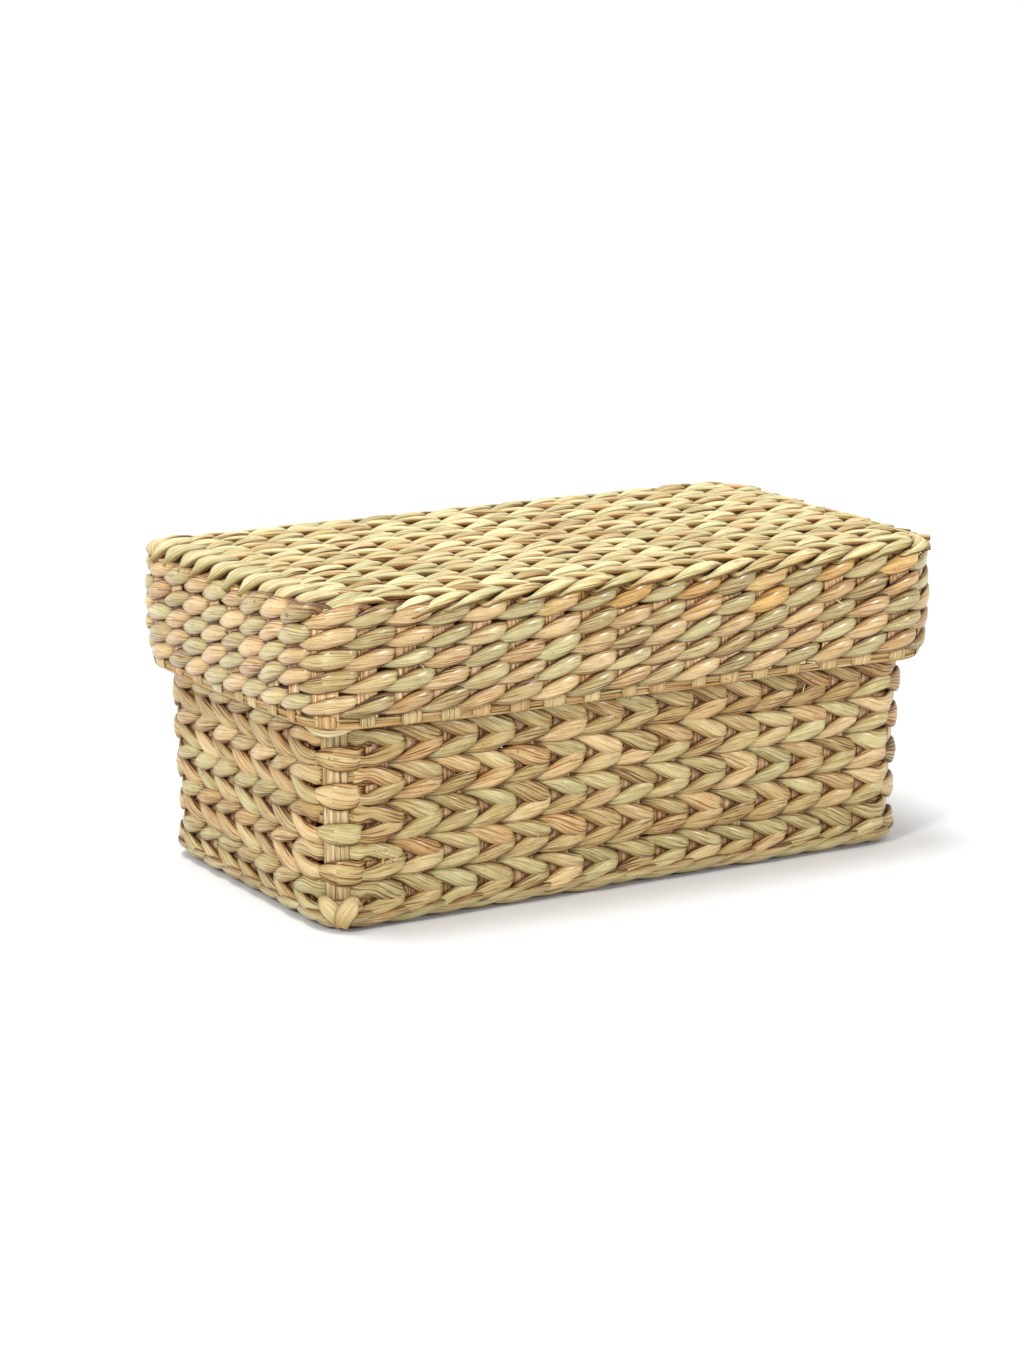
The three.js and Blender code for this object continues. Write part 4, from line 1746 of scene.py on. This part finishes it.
RIM_OUT = 0.0012  # from a rim's stakes to the middle of its strands
TAB_OUT = 0.0017  # from the same stakes to the middle of their folded ends
STAKE_END = 0.0006  # from the lid's foot to the ends of its stakes
FOOT_ENDS = (  # place in stakes, level and way out of the wall at each knot of the two ends
    ((-0.34, 0.0112, 0.0030), (-0.2, 0.0100, 0.0042), (0.0, 0.0068, 0.0046), (0.14, 0.0026, 0.0034)),
    ((0.46, 0.0116, 0.0034), (0.34, 0.0104, 0.0046), (0.2, 0.0066, 0.0052), (0.12, 0.0024, 0.0042)),
)
FOOT_FRAYS = ((1.15, 0.0262), (1.2, 0.0250))  # place in stakes and level, as for the next three
BODY_WALL_FRAYS = ((5.4, 0.0275), (8.3, 0.0510), (10.6, 0.0335), (12.9, 0.0640))
LID_EDGE_FRAYS = ((16.4, 0.1090), (16.6, 0.1085), (15.9, 0.1052), (14.8, 0.0880), (16.1, 0.0875))
LID_WALL_FRAYS = ((12.6, 0.0945), (14.1, 0.0948), (2.1, 0.0880), (5.5, 0.0805), (13.3, 0.0740))

CORNER_STITCH = (  # from the near left corner of the lid's top, at its crest
    (0.0042, 0.0046, -0.0046),
    (0.0072, 0.0052, -0.0026),
    (0.0150, 0.0082, -0.0016),
    (0.0235, 0.0135, -0.0016),
    (0.0310, 0.0190, -0.0034),
)
CURLED_LEAF = (  # from the back left corner of the lid's top, a little under its crest
    (-0.0004, -0.0120, -0.0040),
    (0.0020, -0.0070, -0.0012),
    (0.0080, -0.0032, -0.0002),
    (0.0160, -0.0012, -0.0006),
    (0.0250, -0.0006, -0.0022),
)


@dataclass(frozen=True)
class Finishes:
    """The finishes' materials.

    Attributes:
        strand: of the body's rows and mat.
        smooth: of the lid's rows, which shine more.
        top: of the lid's top and the rope round it.
        stake: of all stakes.
        rim: of both rims.
    """

    strand: bpy.types.Material
    smooth: bpy.types.Material
    top: bpy.types.Material
    stake: bpy.types.Material
    rim: bpy.types.Material


@dataclass
class BodyWeave:
    """The box's body: stakes, twined rows, corner stakes, mat and rim.

    Attributes:
        crown: how far the CAD's fullest stitches stand out from the stakes' line.
        corner_radius: of the stakes' line.
        first_radius: the same in the first row.
        foot_radius: the same in the rope round the foot.
        counts: stakes along a long and a short side.
        rows: twined rows.
        painted_row_shades: brightness of each row; the upper rows get painted shadow of the lid, which hides
            the last ones.
        green_tones: least tone of a row's greener strand, and how much more it may be.
        tone_steps: least step to the tone of its other strand, and how much more it may be.
        uneven: factor on the rows' irregularities.
        foot_rise: how much higher than the CAD's the rope round the foot lies.
        foot_tilt: angle by which its outward way turns up; a negative one turns it down.
        mat_rows: rows of the mat.
        stake_bend: how far the stakes bend in, negative because it is their lower ends that do.
        head_gap: from the head of the rim down to the heads of the stakes.
        strand: sizes of the strands.
        foot_strand: sizes of the strands round the foot.
        mat_strand: sizes of the mat's strands.
    """

    crown: float = 0.0033
    corner_radius: float = 0.015
    first_radius: float = 0.013
    foot_radius: float = 0.012
    counts: tuple[int, int] = (16, 8)
    rows: int = 15
    # painted shade: every row a little darker, and the upper ones darker still as the lid's shadow
    painted_row_shades: tuple[float, ...] = (0.93,) * 8 + (0.86,) * 5 + (0.76,) * 2
    green_tones: tuple[float, float] = (0.12, 0.3)
    tone_steps: tuple[float, float] = (0.12, 0.38)
    uneven: float = 1.2
    foot_rise: float = 0.0025
    foot_tilt: float = -0.6
    mat_rows: int = 16
    stake_bend: float = -0.006
    head_gap: float = 0.0008
    strand: Strand = Strand(half_wide=0.0033, half_thick=0.0013, front=0.0019, back=0.0012, rise=0.0021)
    foot_strand: Strand = Strand(half_wide=0.0030, half_thick=0.0012, front=0.0014, back=0.0002, rise=0.0019)
    mat_strand: Strand = Strand(
        half_wide=0.0034, half_thick=0.0011, front=0.0010, back=0.0007, rise=0.0012, stations=10, columns=8
    )

    def line(self) -> WallLine:
        """The line of the body's stakes, from the sizes of its highest and lowest rows."""
        top, foot = f"body_row_{self.rows:02d}", "body_row_01"
        length, width = half_extents(top)
        drawn, _ = half_extents(foot)
        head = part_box("lid_rim")[0].z
        slope = (length - drawn) / (head - level_of(foot))
        return WallLine(
            half_length=length - self.crown,
            half_width=width - self.crown,
            radius=self.corner_radius,
            counts=self.counts,
            draw=slope * head,
            draw_foot=0.0,
            draw_head=head,
        )

    def build(self, finishes: Finishes) -> None:
        """Makes all of the body's pieces.

        Args:
            finishes: their materials.
        """
        line = self.line()
        self._rows(line, finishes)
        self._foot(line, finishes)
        self._stakes(line, finishes)
        self._folded_end(line, finishes)
        low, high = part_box("body_rim")
        pile = MeshPile()
        Rim(line, low.z, high.z, out=RIM_OUT, tab_out=TAB_OUT).lay(pile, 31)
        pile.piece("body_folded_rim", finishes.rim, "body", "rush_rim", "body_rim")

    def _folded_end(self, line: WallLine, finishes: Finishes) -> None:
        """Makes the strands' ends that are folded over the foot of the near left corner, and a few frays.

        Args:
            line: line of the stakes.
            finishes: the materials.
        """
        pile = MeshPile()
        for knots, tone in zip(FOOT_ENDS, (0.45, 0.58)):
            place, level, out = (np.array(v) for v in zip(*knots))
            point, normal, _ = line.locate(place, level)
            Leaf(
                spine=point + normal * out[:, None],
                face=normal,
                half_wide=(0.0014, 0.0031, 0.0036, 0.0024),
                half_thick=0.0006,
                tone=tone,
                # painted shade at both ends, where the strands tuck in
                shade=(0.8, 1.08, 0.75),
                stations=20,
                columns=14,
                sharp=1.0,
            ).lay(pile, 7.0 + tone)
        Frays(line, tone=0.9, length=0.0035, half_wide=0.0004).scatter(pile, FOOT_FRAYS, 5, 61)
        Frays(line).scatter(pile, BODY_WALL_FRAYS, 2, 62)
        pile.piece("body_folded_end", finishes.strand, "body", "rush_strand")

    def _rows(self, line: WallLine, finishes: Finishes) -> None:
        """Makes one piece of each twined row; rows lean by turns and pass the corner stakes by turns.

        Args:
            line: line of the stakes.
            finishes: the materials.
        """
        rng = np.random.default_rng(11)
        (greenest, greener), (least, more) = self.green_tones, self.tone_steps
        for number in range(1, self.rows + 1):
            node = f"body_row_{number:02d}"
            in_front = number % 2 == 1
            base = greenest + greener * rng.random()
            pair = rng.permutation([base, base + least + more * rng.random()])
            course = replace(line, radius=self.first_radius) if number == 1 else line
            pile = MeshPile()
            TwinedRow(
                course=WallCourse(course, level_of(node)),
                lean=Lean.RISING_ON_LONG if in_front else Lean.FALLING_ON_LONG,
                strand=self.strand,
                tones=(float(pair[0]), float(pair[1])),
                seed=100 + number,
                passing=CornerPass.FRONT if in_front else CornerPass.BEHIND,
                uneven=self.uneven,
                shade=self.painted_row_shades[number - 1],
            ).weave(pile)
            pile.piece(f"body_twined_row_{number:02d}", finishes.strand, "body", "rush_strand", node)

    def _foot(self, line: WallLine, finishes: Finishes) -> None:
        """Makes the rope of long stitches round the foot.

        Args:
            line: line of the stakes.
            finishes: the materials.
        """
        pile = MeshPile()
        level = level_of("body_edge_row") + self.foot_rise
        TwinedRow(
            course=WallCourse(replace(line, radius=self.foot_radius), level, tilt=self.foot_tilt),
            lean=Lean.RISING,
            strand=self.foot_strand,
            tones=(0.3, 0.5),
            seed=150,
            stitch=LONG_STITCH,
            # painted shade behind the stakes, lighter than in the walls' rows
            deep=0.62,
        ).weave(pile)
        pile.piece("body_foot_rope", finishes.strand, "body", "rush_strand", "body_edge_row")

    def _stakes(self, line: WallLine, finishes: Finishes) -> None:
        """Makes the mat, the stakes that turn up from it and the corner stakes.

        Args:
            line: line of the stakes.
            finishes: the materials.
        """
        rows, stakes = MeshPile(), MeshPile()
        level = level_of("body_edge_row")
        Mat(
            line=line,
            level=level,
            face=-1,
            inset=0.0010,
            rows=self.mat_rows,
            strand=self.mat_strand,
            reach=(0.72, 0.72),
        ).weave(rows, stakes, 300)
        places = np.array([p for p in range(line.total) if p not in line.corners])
        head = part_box("body_rim")[1].z - self.head_gap
        Stakes(line).stand(stakes, places, (level, head), self.stake_bend, 330, tone=0.5)
        rows.piece("body_mat_rows", finishes.strand, "body", "rush_strand", "body_base")
        stakes.piece("body_stakes", finishes.stake, "body", "rush_stake", "body_base")
        splint = Stakes(line, half_wide=0.0042, half_thick=0.0010, pleats=4, pleat_depth=0.0001)
        for number, place in enumerate(line.corners, start=1):
            node = f"body_corner_stake_{number}"
            pile = MeshPile()
            low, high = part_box(node)
            splint.stand(pile, np.array([place]), (low.z, high.z), 0.0, 340 + number, tone=0.05)
            pile.piece(f"body_open_stake_{number}", finishes.stake, "body", "rush_stake", node)


@dataclass
class LidWeave:
    """The lid: stakes, twined rows, stitched top and rim.

    Attributes:
        crown: how far the CAD's stitches stand out from the stakes' line.
        bow: how much further those of the fullest row stand out.
        bow_shares: of the bow, for each row from the top down.
        draw: how far the walls stand in at the foot.
        corner_radius: of the stakes' line.
        counts: stakes along a long and a short side.
        rows: twined rows of the walls.
        green_first: for each row, whether the greener of its strands is the first.
        green_tones: least tone of the greener strand, and how much more it may be.
        peach_tones: the same of the other strand.
        ripe_rows: rows whose strands ripen towards the right end of the front wall.
        ripe: how much they ripen.
        row_shade: brightness of the rows.
        first_rise: how much higher than the CAD's the first row lies.
        first_deep: painted shade behind the stakes in the first row, as a share of the brightness.
        deep: the same in the others.
        top_rows: rows of the lid's top.
        top_inset: from the walls' line to the outermost of these rows.
        top_sink: from the crest of the top's stitches to the CAD's.
        first_head_stretch: how much longer the first of the top's heads is, as a share.
        fuller: how far the stakes of the walls stand out from their line.
        stake_gap: from the middle of the top's stakes down to the heads of the walls' stakes.
        stake_bend: how far these bend in under the top.
        strand: sizes of the strands of the walls.
        edge_strand: sizes of the strands round the edge of the top.
        top_strand: sizes of the top's strands.
    """

    crown: float = 0.0033
    bow: float = 0.0008
    bow_shares: tuple[float, ...] = (0.0, 0.6, 1.0, 0.9, 0.3)
    draw: float = 0.0011
    corner_radius: float = 0.015
    counts: tuple[int, int] = (17, 9)
    rows: int = 5
    green_first: tuple[bool, ...] = (False, False, True, True, False)
    green_tones: tuple[float, float] = (0.12, 0.12)
    peach_tones: tuple[float, float] = (0.68, 0.12)
    ripe_rows: int = 2
    ripe: float = 0.38
    row_shade: float = 0.96
    first_rise: float = 0.0005
    first_deep: float = 0.5
    deep: float = 0.3
    top_rows: int = 18
    top_inset: float = 0.0042
    top_sink: float = 0.0001
    first_head_stretch: float = 0.4
    fuller: float = 0.0006
    stake_gap: float = 0.0014
    stake_bend: float = 0.0066
    strand: Strand = Strand(half_wide=0.0032, half_thick=0.0013, front=0.0017, back=0.0012, rise=0.0020)
    edge_strand: Strand = Strand(half_wide=0.0028, half_thick=0.0013, front=0.0012, back=0.0009, rise=0.0032)
    top_strand: Strand = Strand(
        half_wide=0.0034, half_thick=0.0012, front=0.0015, back=0.0012, rise=0.0022, stations=12, columns=10
    )

    def line(self) -> WallLine:
        """The line of the lid's stakes, from the sizes of its fullest row."""
        length, width = half_extents("lid_row_3")
        foot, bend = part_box("lid_rim")[0].z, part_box(f"lid_row_{self.rows}")[1].z
        lift = Lift(
            height=0.0044,
            foot_share=0.4,
            foot=foot,
            full=0.09,
            head=0.1035,
            ceiling=0.1145,
            reach=2.7,
            total=2 * sum(self.counts),
        )
        return WallLine(
            half_length=length - self.crown - self.bow,
            half_width=width - self.crown - self.bow,
            radius=self.corner_radius,
            counts=self.counts,
            draw=self.draw,
            draw_foot=foot,
            draw_head=bend,
            lift=lift,
        )

    def build(self, finishes: Finishes) -> None:
        """Makes all of the lid's pieces.

        Args:
            finishes: their materials.
        """
        line = self.line()
        self._rows(line, finishes)
        self._top(line, finishes)
        self._rim(line, finishes)

    def _rim(self, line: WallLine, finishes: Finishes) -> None:
        """Makes the rim, with the strand that hangs a little under it at the near left corner.

        Args:
            line: line of the stakes.
            finishes: the materials.
        """
        low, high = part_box("lid_rim")
        pile = MeshPile()
        Rim(line, low.z, high.z, out=RIM_OUT, tab_out=TAB_OUT, tab_half_wide=0.0036).lay(pile, 41)
        place = np.array([-0.62, -0.3, 0.0, 0.3, 0.62])
        point, normal, _ = line.locate(place, low.z + np.array([0.0004, -0.0010, -0.0016, -0.0010, 0.0004]))
        Leaf(
            spine=point + normal * np.array([0.0006, 0.0013, 0.0014, 0.0013, 0.0006])[:, None],
            face=normal,
            half_wide=(0.0005, 0.0010, 0.0012, 0.0010, 0.0005),
            half_thick=0.0006,
            tone=0.25,
            stations=18,
            sharp=1.0,
        ).lay(pile, 5.0)
        pile.piece("lid_folded_rim", finishes.rim, "lid", "rush_rim", "lid_rim")

    def _rows(self, line: WallLine, finishes: Finishes) -> None:
        """Makes one piece of each twined row of the walls.

        Args:
            line: line of the stakes.
            finishes: the materials.
        """
        rng = np.random.default_rng(12)
        (greenest, greener), (palest, riper) = self.green_tones, self.peach_tones
        for number in range(1, self.rows + 1):
            node = f"lid_row_{number}"
            green, peach = greenest + greener * rng.random(), palest + riper * rng.random()
            pile = MeshPile()
            TwinedRow(
                course=WallCourse(line, level_of(node) + (self.first_rise if number == 1 else 0.0)),
                lean=Lean.RISING,
                strand=self.strand,
                tones=(green, peach) if self.green_first[number - 1] else (peach, green),
                seed=200 + number,
                out=self.bow * self.bow_shares[number - 1],
                ripe=self.ripe if number <= self.ripe_rows else 0.0,
                shade=self.row_shade,
                # painted shade behind the stakes
                deep=self.first_deep if number == 1 else self.deep,
            ).weave(pile)
            pile.piece(f"lid_twined_row_{number}", finishes.smooth, "lid", "rush_strand", node)

    def _top(self, line: WallLine, finishes: Finishes) -> None:
        """Makes the stitched top, the heads of its rows, the edge rope, the stakes and a few frays.

        Args:
            line: line of the stakes.
            finishes: the materials.
        """
        rows, stakes, edge = MeshPile(), MeshPile(), MeshPile()
        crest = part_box("lid_top")[1].z
        level = crest - self.top_strand.front - self.top_strand.half_thick - self.top_sink
        Mat(
            line=line,
            level=level,
            face=1,
            inset=self.top_inset,
            rows=self.top_rows,
            strand=self.top_strand,
            reach=(0.7, 1.4),
            tones=(0.12, 0.55),
        ).weave(rows, stakes, 400)
        self._heads(line, rows, level, crest)
        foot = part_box("lid_rim")[0].z + STAKE_END
        half_length, half_width = line.half_length + self.fuller, line.half_width + self.fuller
        splints = Stakes(replace(line, half_length=half_length, half_width=half_width))
        levels = (foot, level - self.stake_gap)
        # tone 0.95 gives the lid's stakes the lightest stake colour: painted light
        splints.stand(stakes, np.arange(line.total), levels, self.stake_bend, 430, tone=0.95)
        rows.piece("lid_top_rows", finishes.top, "lid", "rush_strand", "lid_top")
        stakes.piece("lid_stakes", finishes.stake, "lid", "rush_stake", "lid_top")

        long, short = self.counts
        TwinedRow(
            course=WallCourse(replace(line, lift=None), crest - 0.0029, tilt=1.25),
            lean=Lean.RISING,
            strand=self.edge_strand,
            tones=(0.15, 0.4),
            seed=210,
            stitch=LONG_STITCH,
            out=-0.0012,
            span=(1.7, 2 * long + short - 0.4),
            tuck=0.0015,
            # painted light and shade: the rope is a little lighter, with little painted shade behind its
            # stakes
            shade=1.02,
            deep=0.9,
        ).weave(edge)
        Frays(line, out=0.0008).scatter(edge, LID_EDGE_FRAYS, 4, 63)
        Frays(line).scatter(edge, LID_WALL_FRAYS, 2, 64)
        self._near_corner(line, edge, crest)
        edge.piece("lid_edge_rope", finishes.top, "lid", "rush_strand", "lid_edge_row")

    def _near_corner(self, line: WallLine, pile: MeshPile, crest: float) -> None:
        """Adds the broad first stitch at the near left corner, and the strand under the left edge.

        Args:
            line: line of the stakes.
            pile: where they go.
            crest: height of the lid.
        """
        corner = np.array([-line.half_length, -line.half_width, crest])
        Leaf(
            spine=corner + np.array(CORNER_STITCH),
            face=np.array([(-0.3, -1.0, 0.8), (-0.1, -0.8, 1), (0, -0.6, 1), (0, -0.4, 1), (0, -0.3, 1)]),
            half_wide=(0.0010, 0.0030, 0.0037, 0.0030, 0.0010),
            half_thick=0.0011,
            tone=0.12,
            # painted shade at both ends
            shade=(0.85, 1.03, 0.85),
            stations=24,
            columns=16,
            sharp=1.0,
        ).lay(pile, 480.0)
        depth = 2 * line.half_width
        under = np.array(
            [
                (0.0045, depth - 0.012),
                (0.0045, 0.7 * depth),
                (0.0045, 0.4 * depth),
                (0.0050, 0.0200),
                (0.0076, 0.0096),
                (0.0150, 0.0050),
                (0.0280, 0.0045),
            ]
        )
        Leaf(
            spine=corner + np.column_stack([under, np.full(len(under), -0.0056)]),
            face=UP,
            half_wide=(0.0030, 0.0046, 0.0046, 0.0050, 0.0060, 0.0050, 0.0030),
            half_thick=0.0006,
            tone=0.5,
            # painted shade: it lies under the heads
            shade=(0.8, 0.8, 0.8),
            stations=60,
        ).lay(pile, 490.0)

    def _heads(self, line: WallLine, pile: MeshPile, level: float, crest: float) -> None:
        """Adds the heads in which pairs of top rows end on the left edge, and a leaf at the back left corner.

        The place of the head nearest to the camera is left to the edge's first stitch.

        Args:
            line: line of the stakes.
            pile: where they go.
            level: of the top's stakes.
            crest: height of the lid.
        """
        rng = np.random.default_rng(45)
        count = self.counts[1] + 2
        edge = -line.half_length
        half = line.half_width - self.top_inset
        pitch = 2 * half / count
        along = np.array([-0.0022, 0.0001, 0.0036, 0.0074, 0.0120, 0.0172, 0.0225])
        aside = np.array([-0.0040, -0.0034, -0.0020, -0.0004, 0.0014, 0.0030, 0.0040])
        rise = np.array([-0.0036, -0.0012, 0.0009, 0.0013, 0.0011, 0.0004, -0.0008])
        for k in range(1, count):
            y = -half + (k + 0.5) * pitch + 0.0004 * rng.normal()
            stretch = 1 + 0.08 * rng.normal() + self.first_head_stretch * (k == 1)
            bent = aside * (1 + 0.2 * rng.normal())
            spine = np.stack([edge + along * stretch, y + bent, level + rise], axis=-1)
            spine[:, 2] = np.minimum(spine[:, 2], crest - 0.0014)
            Leaf(
                spine=spine,
                face=np.array([(-0.5, 0, 1), (-0.4, 0, 1), (-0.2, 0, 1)] + [(0, 0, 1)] * 4),
                half_wide=(0.0006, 0.0024, 0.0044, 0.0053, 0.0048, 0.0034, 0.0018),
                half_thick=0.0015,
                tone=0.1 + 0.35 * rng.random(),
                # painted shade at both ends, where the head tucks in
                shade=(0.8, 1.04, 0.85),
                stations=28,
                columns=16,
                sharp=1.0,
            ).lay(pile, 450.0 + k)
        Leaf(
            spine=np.array(CURLED_LEAF) + np.array([edge, line.half_width, crest - 0.0008]),
            face=np.array([(-1.0, 0, 0.8), (-0.6, 0, 1), (0, 0.2, 1), (0, 0.3, 1), (0, 0.3, 1)]),
            half_wide=(0.0008, 0.0030, 0.0037, 0.0030, 0.0010),
            half_thick=0.0006,
            tone=0.6,
            # painted shade at both ends
            shade=(0.9, 1.06, 0.85),
            stations=28,
            pleats=2,
            sharp=1.0,
        ).lay(pile, 470.0)


def main() -> None:
    """Builds the box, the camera and the studio."""
    logging.basicConfig(level=logging.INFO, format="%(message)s")
    Camera().place()
    Studio().build()
    finishes = Finishes(
        strand=STRAND_FINISH.material(),
        smooth=SMOOTH_FINISH.material(),
        top=TOP_FINISH.material(),
        stake=STAKE_FINISH.material(),
        rim=RIM_FINISH.material(),
    )
    BodyWeave().build(finishes)
    LidWeave().build(finishes)


if __name__ == "__main__":
    main()
